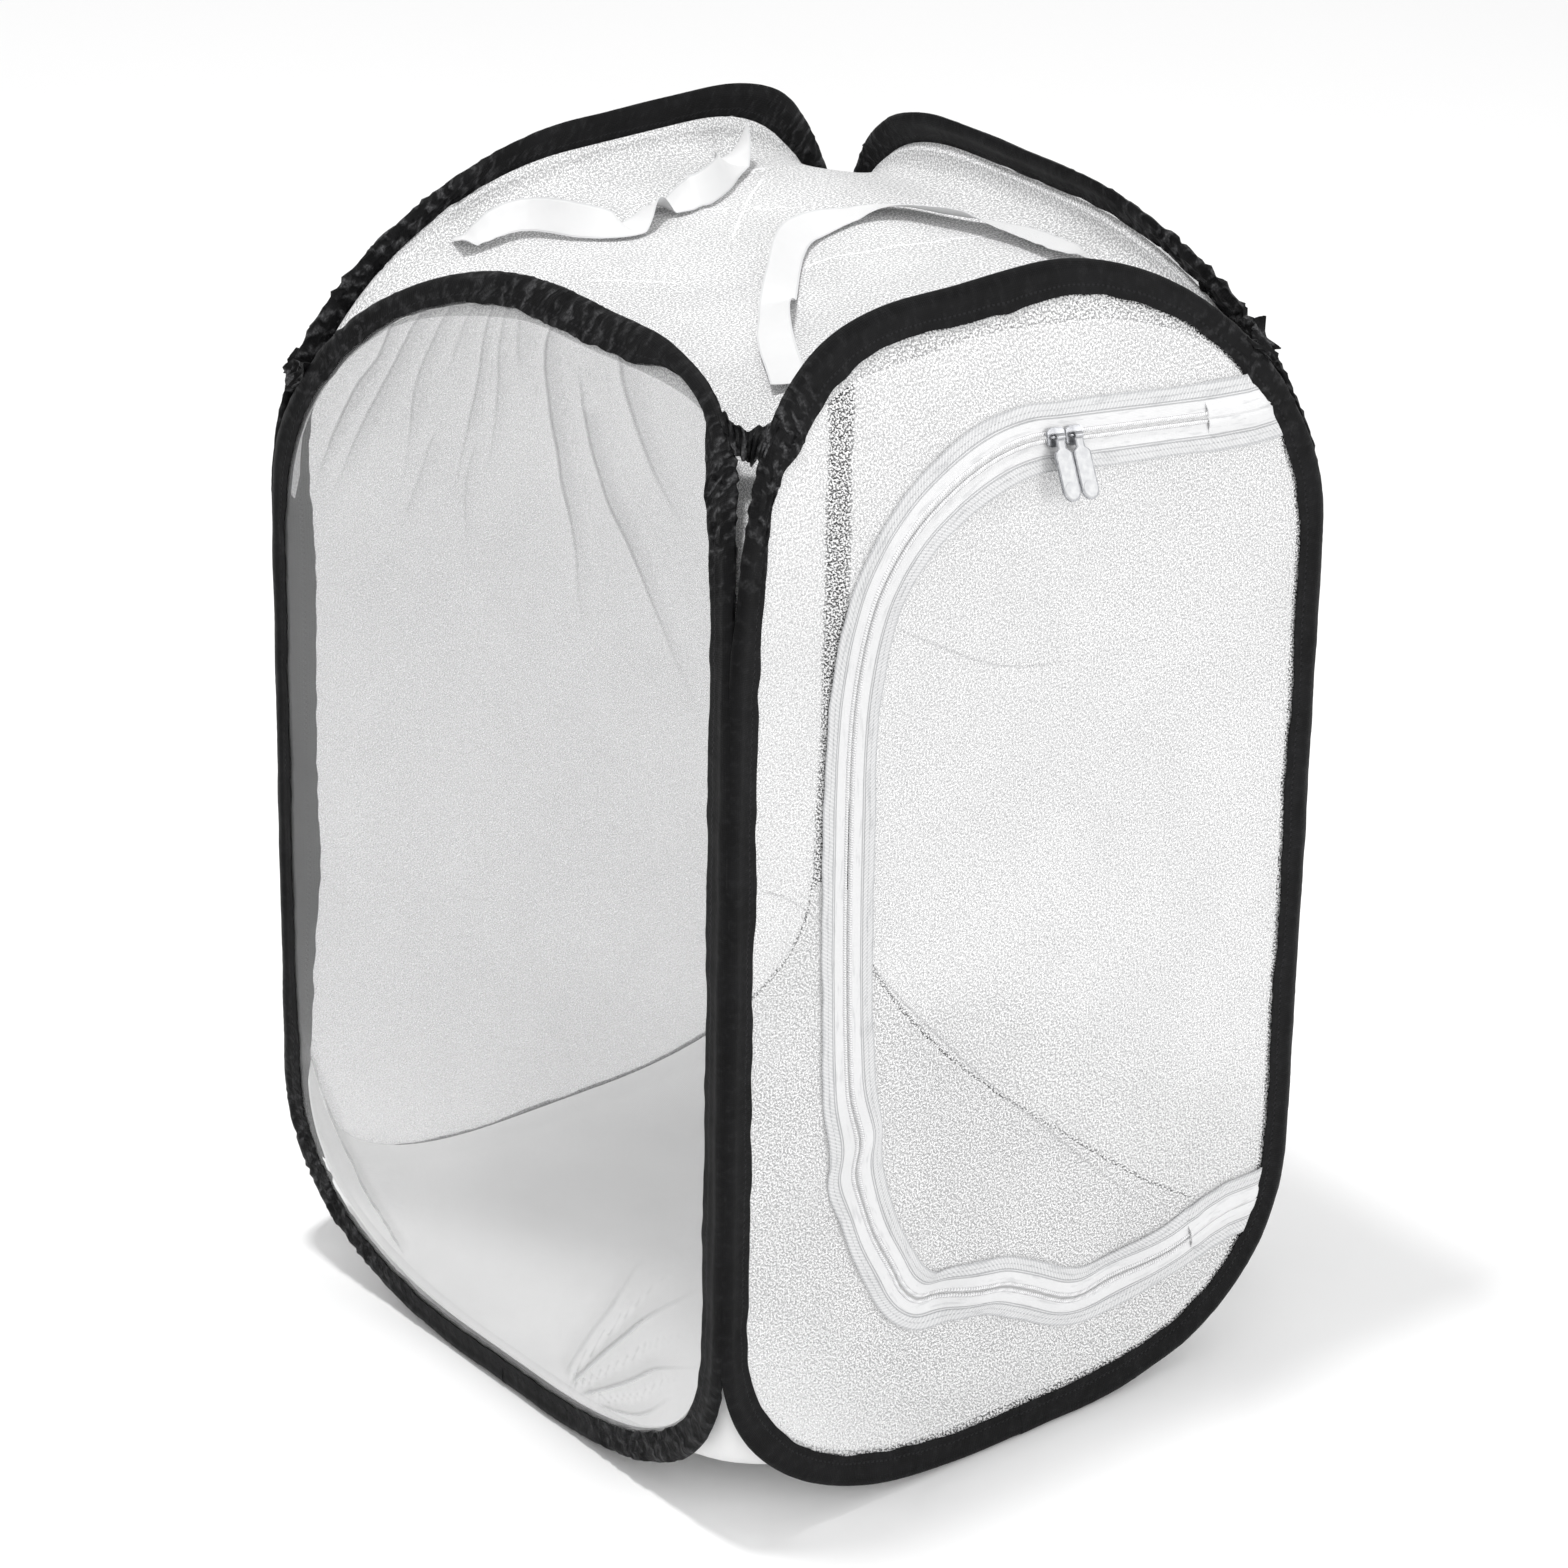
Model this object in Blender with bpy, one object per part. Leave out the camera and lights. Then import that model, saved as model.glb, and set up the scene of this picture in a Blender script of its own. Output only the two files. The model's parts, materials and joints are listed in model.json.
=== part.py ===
"""A pop-up insect cage: four spring-wire hoops in black tape, hung with white netting,
one sheer cloth side, a cloth floor and a zipped door flap in the front. Metres, +Z up.
The origin is on the ground under the middle of the cage. The front, with the door, faces -Y."""

import math

import bmesh
import bpy
import numpy as np
from mathutils import Matrix, Vector
from mathutils.geometry import delaunay_2d_cdt

# Outer size of the cage.
CAGE_WIDTH = 0.380
CAGE_DEPTH = 0.380
CAGE_HEIGHT = 0.610

# One hoop: the bends at its corners, measured on the middle of its tape.
TOP_BEND_WIDTH = 0.143
TOP_BEND_HEIGHT = 0.153
FOOT_BEND_WIDTH = 0.152
FOOT_BEND_HEIGHT = 0.106
TOP_BEND_POWER = 2.17
FOOT_BEND_POWER = 2.36
BEND_STEPS = 8
CORNER_INSET = 0.0013

# How each soft hoop stands: its top lower than the tallest hoop's, its top leaning in,
# its top drawn sideways (to +X or +Y), and its foot splayed out.
FRONT_DROP, FRONT_LEAN, FRONT_SHIFT, FRONT_SPLAY = 0.0, 0.0515, -0.004, 0.009
LEFT_DROP, LEFT_LEAN, LEFT_SHIFT, LEFT_SPLAY = 0.0148, 0.0445, -0.026, -0.0065
RIGHT_DROP, RIGHT_LEAN, RIGHT_SHIFT, RIGHT_SPLAY = 0.0033, 0.0354, 0.0075, 0.0223
BACK_DROP, BACK_LEAN, BACK_SHIFT, BACK_SPLAY = 0.0115, -0.004, 0.044, 0.0196

# Tape binding round each hoop, a folded strip that is open towards its panel.
TAPE_WIDTH = 0.016
TAPE_THICKNESS = 0.005
TAPE_EDGE_THICKNESS = 0.0034
TAPE_RIM_FLAT = 0.0011
FOOT_FLAT = 0.0016

# Spring wire, its crimp sleeve, cloth and the usual gap between neighbours.
WIRE_DIAMETER = 0.0022
WIRE_FROM_MIDDLE = 0.0032
WIRE_SIDES = 5
SLEEVE_DIAMETER = 0.0025
SLEEVE_LENGTH = 0.022
SLEEVE_SIDES = 8
SHARP_EDGE_DEGREES = 35
MERGE_DISTANCE = 1e-7
CLOTH_THICKNESS = 0.0008
GAP = 0.0003
SLOT_CLEARANCE = 0.0005
CLOTH_IN_TAPE = 0.009
SEAM_FROM_RIM = 0.005
PANEL_SPACING = 0.044

# Top and floor cloth.
FLOOR_FALL_LENGTH = 0.040
FLOOR_STEPS = 14
TOP_STEPS = 16
TOP_SAG = 0.012
RELAX_STEPS = 900

# Sheer side: soft folds that fan out from the top arc, and one long crease.
FOLD_COUNT = 7
FOLD_DEPTH = 0.0035
FOLD_REACH = 0.34
FOLD_FALL_SHARE = 2.2
FOLD_START_SHARE = 0.33
FOLD_FAN_SHARE = 0.35
CREASE_DEPTH = 0.004
CREASE_WIDTH = 0.030
CREASE_TOP_SHARE = -0.62
CREASE_SLANT_SHARE = 1.25
SHEER_SPACING = 0.026

# Door flap. The zip's middle line as shares of the half width and of the height,
# from the top end of the hinge round to its foot end. The sliders run on its first, straight part.
HINGE_SHARE = 0.808
ZIP_PATH_SHARES = (
    (0.740, 0.8596), (0.650, 0.8620), (0.550, 0.8656), (0.450, 0.8692), (0.350, 0.8728),
    (0.250, 0.8764), (0.150, 0.8800), (0.050, 0.8836), (-0.060, 0.8815), (-0.170, 0.8740),
    (-0.280, 0.8620), (-0.385, 0.8460), (-0.480, 0.8240), (-0.560, 0.7940), (-0.615, 0.7500),
    (-0.638, 0.6900), (-0.641, 0.6000), (-0.637, 0.5010), (-0.625, 0.4120), (-0.606, 0.3480),
    (-0.568, 0.2840), (-0.500, 0.2240), (-0.412, 0.1780), (-0.320, 0.1560), (-0.215, 0.1530),
    (-0.090, 0.1480), (0.040, 0.1300), (0.170, 0.1110), (0.310, 0.1015), (0.470, 0.1070),
    (0.650, 0.1190),
)
ZIP_ENDS_HEIGHT_SHARES = (0.8580, 0.1270)
ZIP_STEPS = 48
ZIP_TAPE_WIDTH = 0.0126
ZIP_TAPE_THICKNESS = 0.0008
ZIP_COIL_WIDTH = 0.0017
ZIP_COIL_THICKNESS = 0.0020
ZIP_WEB_GAP = 0.0018
CLOTH_UNDER_ZIP = 0.0070
HINGE_GAP = 0.0014
HINGE_PROUD = 0.0030
HINGE_STEPS = 10

# Sliders and their pulls. They hang side by side near the middle of the zip's top.
SLIDER_LENGTH = 0.0110
SLIDER_WIDTH = 0.0094
SLIDER_NOSE_WIDTH = 0.0078
SLIDER_PLATE = 0.0011
SLIDER_WALL = 0.0009
SLIDER_CLEARANCE = 0.0004
SLIDERS_MIDDLE_SHARE = 0.147
BAIL_HEIGHT = 0.0022
BAIL_PIN_DIAMETER = 0.0012
BAIL_SPAN = 0.0070
BAIL_SINK = 0.0005
BAIL_SIDES = 8
PULL_WIDTH = 0.0107
PULL_LENGTH = 0.0320
PULL_THICKNESS = 0.0012
PULL_NECK_WIDTH = 0.0052
PULL_NECK_LENGTH = 0.0060
PULL_SHOULDER = 0.0020
PULL_WALL = 0.0008
PULL_PAD_DIAMETER = 0.0088
PULL_PAD_THICKNESS = 0.0018
PULL_REST_TILT_DEGREES = 10.5
PULL_SIDES = 12

# Cloth patches over the zip's ends.
PATCH_LENGTH = 0.028
PATCH_STEPS = 3

# Corner ties, and the two hanging ribbons that lie on the top.
TIE_HEIGHT = 0.012
TIE_THICKNESS = 0.0010
TIE_SPAN = 0.016
TIE_SEARCH_STEPS = 20
TIE_SAG = 0.004
TIE_STEPS = 7
RIBBON_WIDTH = 0.018
RIBBON_THICKNESS = 0.0006
RIBBON_STEPS = 30
RIBBON_LIFT = 0.0014
REAR_RIBBON_SHARES = (
    (-0.58, 0.80), (-0.34, 0.79), (-0.22, 0.64), (-0.02, 0.52), (0.18, 0.60), (0.34, 0.73),
    (0.45, 0.84),
)
FRONT_RIBBON_SHARES = (
    (-0.45, -0.53), (-0.28, -0.25), (-0.05, 0.00), (0.20, 0.25), (0.40, 0.31), (0.54, 0.24),
    (0.62, 0.08), (0.66, -0.08), (0.68, -0.22), (0.71, -0.36),
)

COLOURS = {
    "tape": ((0.012, 0.012, 0.013), 0.75, 0.0),
    "steel": ((0.42, 0.43, 0.45), 0.32, 1.0),
    "netting": ((0.86, 0.87, 0.88), 0.80, 0.0),
    "sheer": ((0.80, 0.81, 0.82), 0.65, 0.0),
    "floor": ((0.90, 0.90, 0.90), 0.80, 0.0),
    "zip_tape": ((0.92, 0.92, 0.92), 0.45, 0.0),
    "zip_coil": ((0.88, 0.88, 0.89), 0.35, 0.0),
    "pull": ((0.80, 0.80, 0.81), 0.25, 1.0),
    "ribbon": ((0.93, 0.93, 0.93), 0.45, 0.0),
}


class Side:
    """One hoop and how it stands: places on it are given as along, height and depth."""

    def __init__(self, name, drop, lean, shift, splay):
        across = name in ("front", "back")
        self.name = name
        self.out = {
            "front": (0, -1, 0), "back": (0, 1, 0), "left": (-1, 0, 0), "right": (1, 0, 0),
        }[name]
        self.run = (1, 0, 0) if across else (0, 1, 0)
        self.half = (CAGE_WIDTH if across else CAGE_DEPTH) / 2 - CORNER_INSET - TAPE_WIDTH / 2
        self.plane = (CAGE_DEPTH if across else CAGE_WIDTH) / 2 - TAPE_THICKNESS / 2
        self.top = CAGE_HEIGHT - drop - TAPE_WIDTH / 2
        self.foot = TAPE_WIDTH / 2
        self.lean, self.shift, self.splay = lean, shift, splay

    def place(self, along, height, depth=0.0):
        """A point of the panel's curved surface, moved out along its normal by depth."""
        top = max(0.0, (height - self.top + TOP_BEND_HEIGHT) / TOP_BEND_HEIGHT)
        low = max(0.0, 1 - (height - self.foot) / FOOT_BEND_HEIGHT)
        reach = self.plane - self.lean * top**2 + self.splay * low**2
        slope = -2 * self.lean * top / TOP_BEND_HEIGHT - 2 * self.splay * low / FOOT_BEND_HEIGHT
        size = math.hypot(1, slope)
        reach += depth / size
        height -= depth * slope / size
        along += self.shift * top**3
        return np.array(self.out) * reach + np.array(self.run) * along + np.array((0, 0, height))

    def outline(self, offset=0.0):
        """The hoop's closed line, counted from the middle of its foot, as (along, height)."""
        turn = np.linspace(0, math.pi / 2, BEND_STEPS + 1)
        points = [(0.0, self.foot)]
        widest = self.half - SLEEVE_LENGTH

        def bend(right, up, width, height, power, order):
            width = min(width, widest)
            middle = self.half - width
            level = self.top - height if up else self.foot + height
            for t in order:
                a = middle + width * math.cos(t) ** (2 / power)
                z = height * math.sin(t) ** (2 / power)
                points.append((a if right else -a, level + z if up else level - z))

        bend(True, False, FOOT_BEND_WIDTH, FOOT_BEND_HEIGHT, FOOT_BEND_POWER, turn[::-1])
        points.append((self.half, (self.top + self.foot) / 2))
        bend(True, True, TOP_BEND_WIDTH, TOP_BEND_HEIGHT, TOP_BEND_POWER, turn)
        points.append((0.0, self.top))
        bend(False, True, TOP_BEND_WIDTH, TOP_BEND_HEIGHT, TOP_BEND_POWER, turn[::-1])
        points.append((-self.half, (self.top + self.foot) / 2))
        bend(False, False, FOOT_BEND_WIDTH, FOOT_BEND_HEIGHT, FOOT_BEND_POWER, turn)
        line = np.array(points)
        return line + offset * flat_normals(line, closed=True)


def flat_normals(line, closed=False):
    """Unit normals of a line in the plane, to the right of its direction."""
    if closed:
        ahead = np.roll(line, -1, axis=0) - np.roll(line, 1, axis=0)
    else:
        ahead = np.gradient(line, axis=0)
    ahead /= np.linalg.norm(ahead, axis=1)[:, None]
    return np.stack([ahead[:, 1], -ahead[:, 0]], axis=1)


def smooth_line(points, steps):
    """Evenly counted points of a smooth curve through the given ones."""
    points = np.array(points, float)
    padded = np.vstack([2 * points[0] - points[1], points, 2 * points[-1] - points[-2]])
    where = np.linspace(0, len(points) - 1, steps + 1)
    first = np.minimum(where.astype(int), len(points) - 2)
    t = (where - first)[:, None]
    a, b, c, d = (padded[first + k] for k in range(4))
    square = 2 * a - 5 * b + 4 * c - d
    cube = 3 * b - a - 3 * c + d
    return (2 * b + (c - a) * t + square * t**2 + cube * t**3) / 2


def material(slot):
    found = bpy.data.materials.get(slot)
    if found:
        return found
    colour, roughness, metallic = COLOURS[slot]
    made = bpy.data.materials.new(slot)
    made.use_nodes = True
    shader = made.node_tree.nodes["Principled BSDF"]
    shader.inputs["Base Color"].default_value = (*colour, 1)
    shader.inputs["Roughness"].default_value = roughness
    shader.inputs["Metallic"].default_value = metallic
    made.diffuse_color = (*colour, 1)
    return made


def make(name, slot, points, faces, origin=None):
    """A named object with its own material, its faces turned outwards, and its own origin."""
    origin = np.zeros(3) if origin is None else np.array(origin)
    mesh = bpy.data.meshes.new(name)
    mesh.from_pydata([tuple(p - origin) for p in points], [], [tuple(f) for f in faces])
    work = bmesh.new()
    work.from_mesh(mesh)
    bmesh.ops.recalc_face_normals(work, faces=work.faces)
    bmesh.ops.triangulate(work, faces=work.faces)
    work.to_mesh(mesh)
    work.free()
    mesh.shade_smooth()
    mesh.set_sharp_from_angle(angle=math.radians(SHARP_EDGE_DEGREES))
    mesh.materials.append(material(slot))
    made = bpy.data.objects.new(name, mesh)
    made.location = origin
    bpy.context.collection.objects.link(made)
    return made


def swept(rows, closed_line):
    """Faces round rows of equal sections, with end caps unless the line closes."""
    count, ring = len(rows), len(rows[0])
    points = [p for row in rows for p in row]
    faces = []
    for i in range(count if closed_line else count - 1):
        j = (i + 1) % count
        for k in range(ring):
            n = (k + 1) % ring
            faces.append((i * ring + k, i * ring + n, j * ring + n, j * ring + k))
    if not closed_line:
        faces.append(range(ring))
        faces.append([(count - 1) * ring + k for k in range(ring - 1, -1, -1)])
    return points, faces


def skin(grid, thickness):
    """A thin closed solid round a grid of surface points."""
    grid = np.array(grid)
    rows, columns = grid.shape[:2]
    across = np.gradient(grid, axis=1)
    down = np.gradient(grid, axis=0)
    normal = np.cross(across, down)
    normal /= np.linalg.norm(normal, axis=2)[..., None]
    points = list((grid + normal * thickness / 2).reshape(-1, 3))
    points += list((grid - normal * thickness / 2).reshape(-1, 3))
    under = rows * columns
    faces = []
    for i in range(rows - 1):
        for j in range(columns - 1):
            a, b = i * columns + j, i * columns + j + 1
            c, d = b + columns, a + columns
            faces += [(a, b, c, d), (under + d, under + c, under + b, under + a)]
    rim = [j for j in range(columns)]
    rim += [i * columns + columns - 1 for i in range(1, rows)]
    rim += [(rows - 1) * columns + j for j in range(columns - 2, -1, -1)]
    rim += [i * columns for i in range(rows - 2, 0, -1)]
    for a, b in zip(rim, rim[1:] + rim[:1]):
        faces.append((b, a, under + a, under + b))
    return points, faces


def inside(point, loop):
    """Whether a flat point lies in a closed loop."""
    x, y = point
    ahead = np.roll(loop, -1, axis=0)
    spans = (loop[:, 1] > y) != (ahead[:, 1] > y)
    a, b = loop[spans], ahead[spans]
    crossings = a[:, 0] + (y - a[:, 1]) / (b[:, 1] - a[:, 1]) * (b[:, 0] - a[:, 0])
    return np.count_nonzero(crossings > x) % 2 == 1


def distance_to(point, loop):
    """Distance from a flat point to a closed loop."""
    ahead = np.roll(loop, -1, axis=0) - loop
    share = np.clip(((point - loop) * ahead).sum(axis=1) / (ahead**2).sum(axis=1), 0, 1)
    return np.linalg.norm(point - loop - share[:, None] * ahead, axis=1).min()


def panel(side, outer, inner_loops, hole, spacing, fold):
    """A thin closed sheet on a side, cut to an outer loop and round an optional hole."""
    loops = [outer, *inner_loops] + ([hole] if hole is not None else [])
    flat, edges = [], []
    for loop in loops:
        first = len(flat)
        flat += [tuple(p) for p in loop]
        edges += [(first + i, first + (i + 1) % len(loop)) for i in range(len(loop))]
    low, high = outer.min(axis=0), outer.max(axis=0)
    counts = np.ceil((high - low) / spacing).astype(int)
    for i in range(1, counts[0]):
        for j in range(1, counts[1]):
            point = low + (high - low) * np.array((i, j)) / counts
            clear = min(distance_to(point, loop) for loop in loops)
            if clear > spacing / 3 and inside(point, outer):
                flat.append(tuple(point))
    done = delaunay_2d_cdt([Vector(p) for p in flat], edges, [], 0, MERGE_DISTANCE)
    flat = np.array([tuple(p) for p in done[0]])
    kept = []
    for face in done[2]:
        middle = flat[list(face)].mean(axis=0)
        if inside(middle, outer) and not (hole is not None and inside(middle, hole)):
            kept.append(tuple(face))
    used = sorted({k for face in kept for k in face})
    place = {k: i for i, k in enumerate(used)}
    kept = [tuple(place[k] for k in face) for face in kept]
    points = []
    for depth in (CLOTH_THICKNESS / 2, -CLOTH_THICKNESS / 2):
        points += [side.place(*flat[k], depth + (fold(*flat[k]) if fold else 0.0)) for k in used]
    under = len(used)
    faces = kept + [tuple(under + k for k in face[::-1]) for face in kept]
    rim = {}
    for face in kept:
        for a, b in zip(face, face[1:] + face[:1]):
            if (b, a) in rim:
                del rim[(b, a)]
            else:
                rim[(a, b)] = True
    faces += [(b, a, under + a, under + b) for a, b in rim]
    return points, faces


SEAM_OFFSET = TAPE_WIDTH / 2 - SEAM_FROM_RIM
CLOTH_OFFSET = CLOTH_IN_TAPE - TAPE_WIDTH / 2
SEAM_DEPTH = -TAPE_THICKNESS / 2 - GAP - CLOTH_THICKNESS / 2
ZIP_INNER = ZIP_WEB_GAP / 2
ZIP_TAPE_START = ZIP_INNER + ZIP_COIL_WIDTH + GAP
ZIP_TAPE_END = ZIP_TAPE_START + ZIP_TAPE_WIDTH
ZIP_CLOTH_EDGE = ZIP_TAPE_END - CLOTH_UNDER_ZIP
TAPE_LEVEL = CLOTH_THICKNESS / 2 + GAP
COIL_LEVEL = GAP
COIL_TOP = COIL_LEVEL + ZIP_COIL_THICKNESS


def tape_section():
    """The folded tape's section: (offset from its middle line, depth)."""
    rim, face, edge = TAPE_WIDTH / 2, TAPE_THICKNESS / 2, TAPE_EDGE_THICKNESS / 2
    bevel = TAPE_THICKNESS - TAPE_RIM_FLAT
    slot = CLOTH_THICKNESS / 2 + SLOT_CLEARANCE
    room = WIRE_DIAMETER / 2 + GAP
    wire = WIRE_FROM_MIDDLE
    return (
        (-rim, -edge), (rim - bevel, -face), (rim, face - TAPE_RIM_FLAT), (rim, face), (-rim, edge),
        (-rim, slot), (wire - room, slot), (wire - room / 2, room), (wire + room, room),
        (wire + room, -room + GAP), (wire - room / 2, -room), (wire - room, -slot), (-rim, -slot),
    )


def make_binding(side):
    section = tape_section()
    middle = side.outline()
    normals = flat_normals(middle, closed=True)
    rows = []
    for point, normal in zip(middle, normals):
        row = []
        for offset, depth in section:
            a, z = point + normal * offset
            place = side.place(a, z, depth)
            if place[2] < FOOT_FLAT:
                place[2] = 0.0
            row.append(place)
        rows.append(row)
    make(f"binding_{side.name}", "tape", *swept(rows, True))


def make_wire(side):
    line = side.outline(WIRE_FROM_MIDDLE)
    run = line[1:]
    end = SLEEVE_LENGTH / 2 + GAP
    foot = line[0, 1]
    run = np.vstack([(end, foot), run, (-end, foot)])
    normals = flat_normals(run)
    rows = [ring_at(side, p, n, WIRE_DIAMETER / 2, WIRE_SIDES) for p, n in zip(run, normals)]
    make(f"hoop_wire_{side.name}", "steel", *swept(rows, False))
    run = np.array([(-SLEEVE_LENGTH / 2, foot), (SLEEVE_LENGTH / 2, foot)])
    normals = flat_normals(run)
    rows = [ring_at(side, p, n, SLEEVE_DIAMETER / 2, SLEEVE_SIDES) for p, n in zip(run, normals)]
    make(f"wire_sleeve_{side.name}", "steel", *swept(rows, False))


def ring_at(side, point, normal, radius, sides):
    row = []
    for k in range(sides):
        turn = 2 * math.pi * k / sides
        a, z = point + normal * radius * math.cos(turn)
        row.append(side.place(a, z, radius * math.sin(turn)))
    return row


def tape_inner_edge(side):
    return side.outline(-TAPE_WIDTH / 2 - CLOTH_THICKNESS)


def make_plain_panel(side):
    outer = side.outline(CLOTH_OFFSET)
    made = panel(side, outer, [tape_inner_edge(side)], None, PANEL_SPACING, None)
    make(f"{side.name}_mesh_panel", "netting", *made)


def make_sheer_panel(side):
    edge = tape_inner_edge(side)

    def fold(along, height):
        """Depth of the folds, which die out at the tape and lower down."""
        if not inside((along, height), edge):
            return 0.0
        share = along / side.half
        fall = (side.top - height) / FOLD_REACH
        start = min(1.0, max(0.0, fall) / FOLD_START_SHARE)
        fan = math.exp(-FOLD_FALL_SHARE * fall) * math.sin(math.pi * start)
        waves = math.cos(FOLD_COUNT * math.pi * share * (1 - FOLD_FAN_SHARE * fall))
        line = CREASE_TOP_SHARE + CREASE_SLANT_SHARE * (side.top - height) / (side.top - side.foot)
        crease = math.exp(-(((share - line) * side.half / CREASE_WIDTH) ** 2))
        hold = min(1.0, distance_to(np.array((along, height)), edge) / (2 * TAPE_WIDTH))
        return hold * (FOLD_DEPTH * fan * waves - CREASE_DEPTH * crease * start)

    outer = side.outline(CLOTH_OFFSET)
    made = panel(side, outer, [edge], None, SHEER_SPACING, fold)
    make(f"{side.name}_sheer_panel", "sheer", *made)


def seam(sides, name, upper):
    """The line where the top or floor is sewn inside a hoop's tape, from -run to +run."""
    side = sides[name]
    line = side.outline(SEAM_OFFSET)
    half = len(line) // 2
    arcs = BEND_STEPS + 1
    if upper:
        run = line[half - arcs:half + arcs + 1][::-1]
    else:
        run = np.vstack([line[-arcs:], line[:1], line[1:arcs + 1]])
    points = np.array([side.place(a, z, SEAM_DEPTH) for a, z in run])
    across = side.run.index(1)
    for other in ("left", "right") if across == 0 else ("front", "back"):
        sign = sum(sides[other].out)
        for p in points:
            limit = abs(sides[other].place(0.0, p[2], SEAM_DEPTH - CLOTH_THICKNESS)[across])
            p[across] = sign * min(sign * p[across], limit)
    return points


def resample(line, steps):
    """Points of a line at even shares of its length."""
    length = np.concatenate([[0], np.cumsum(np.linalg.norm(np.diff(line, axis=0), axis=1))])
    at = np.linspace(0, length[-1], steps + 1)
    return np.stack([np.interp(at, length, line[:, k]) for k in range(3)], axis=1)


def stretched(front, back, left, right, fall):
    """A cloth held on four arcs: its plan is spread evenly, and its height relaxes like a
    membrane, which sinks to zero over the length fall, if there is one."""
    n = len(front) - 1
    corners = (
        (front, left), (front[::-1], right), (back, left[::-1]), (back[::-1], right[::-1]),
    )
    for a, b in corners:
        meet = (a[0] + b[0]) / 2
        a[0] = b[0] = meet
    u = np.linspace(0, 1, n + 1)[None, :, None]
    v = np.linspace(0, 1, n + 1)[:, None, None]
    grid = (1 - v) * front[None] + v * back[None] + (1 - u) * left[:, None] + u * right[:, None]
    grid = grid - (1 - u) * (1 - v) * front[0] - u * (1 - v) * front[-1]
    grid = grid - (1 - u) * v * back[0] - u * v * back[-1]
    height = grid[..., 2].copy()
    step = (CAGE_WIDTH + CAGE_DEPTH) / 2 / n
    pull = 0.0 if fall is None else (step / fall) ** 2
    for _ in range(RELAX_STEPS):
        near = height[:-2, 1:-1] + height[2:, 1:-1] + height[1:-1, :-2] + height[1:-1, 2:]
        height[1:-1, 1:-1] = near / (4 + pull)
    grid[..., 2] = height
    return grid


def make_top(sides):
    names = ("front", "back", "left", "right")
    grid = stretched(*(resample(seam(sides, k, True), TOP_STEPS) for k in names), None)
    n = TOP_STEPS
    bulge = np.sin(np.pi * np.arange(n + 1) / n)
    grid[..., 2] -= TOP_SAG * bulge[:, None] * bulge[None]
    make("top_mesh_panel", "netting", *skin(grid, CLOTH_THICKNESS))
    return grid


def make_floor(sides):
    names = ("front", "back", "left", "right")
    arcs = (resample(seam(sides, k, False), FLOOR_STEPS) for k in names)
    grid = stretched(*arcs, FLOOR_FALL_LENGTH)
    points, faces = skin(grid, CLOTH_THICKNESS)
    count = len(points) // 2
    low = min(p[2] for p in points)
    for k in range(count):
        for p, level in ((points[k], CLOTH_THICKNESS), (points[count + k], 0.0)):
            if p[2] < low + CLOTH_THICKNESS + FOOT_FLAT:
                p[2] = level
    make("floor_panel", "floor", points, faces)


def zip_line(side):
    """The zip's middle line on the front, from the hinge's top end round to its foot end."""
    top, foot = ZIP_ENDS_HEIGHT_SHARES
    shares = ((HINGE_SHARE, top), *ZIP_PATH_SHARES, (HINGE_SHARE, foot))
    return smooth_line([(x * side.half, z * CAGE_HEIGHT) for x, z in shares], ZIP_STEPS)


def hinge_centre(side):
    """The middle of the upright hinge axis, just proud of the front."""
    height = sum(ZIP_ENDS_HEIGHT_SHARES) / 2 * CAGE_HEIGHT
    return side.place(HINGE_SHARE * side.half, height, HINGE_PROUD)


def flap_line(side, line):
    """The zip's line cut back from the hinge at both ends."""
    line = line.copy()
    for end, near in ((0, 1), (-1, -2)):
        way = line[near] - line[end]
        line[end] += way * HINGE_GAP / 2 / abs(way[0])
    return line


def strip(side, line, start, end, low, high):
    rows = []
    for point, normal in zip(line, flat_normals(line)):
        section = ((start, low), (end, low), (end, high), (start, high))
        rows.append([side.place(*(point + normal * q), d) for q, d in section])
    return swept(rows, False)


def make_front(side, line, centre):
    down = np.linspace(0, 1, HINGE_STEPS + 1)[1:-1, None]
    hole = line + flat_normals(line) * ZIP_CLOTH_EDGE
    hole[0, 0] = hole[-1, 0] = HINGE_SHARE * side.half + HINGE_GAP / 2
    hole = np.vstack([hole, hole[-1] * (1 - down) + hole[0] * down])
    outer = side.outline(CLOTH_OFFSET)
    made = panel(side, outer, [tape_inner_edge(side)], hole, PANEL_SPACING, None)
    make("front_mesh_panel", "netting", *made)
    cut = flap_line(side, line)
    flap = cut - flat_normals(cut) * ZIP_CLOTH_EDGE
    hinge = flap[-1] * (1 - down) + flap[0] * down
    flap = np.vstack([flap, hinge])
    flap[[0, len(cut) - 1], 0] = HINGE_SHARE * side.half - HINGE_GAP / 2
    flap[len(cut):, 0] = HINGE_SHARE * side.half - HINGE_GAP / 2
    make("door_mesh", "netting", *panel(side, flap, [], None, PANEL_SPACING, None), centre)


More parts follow.
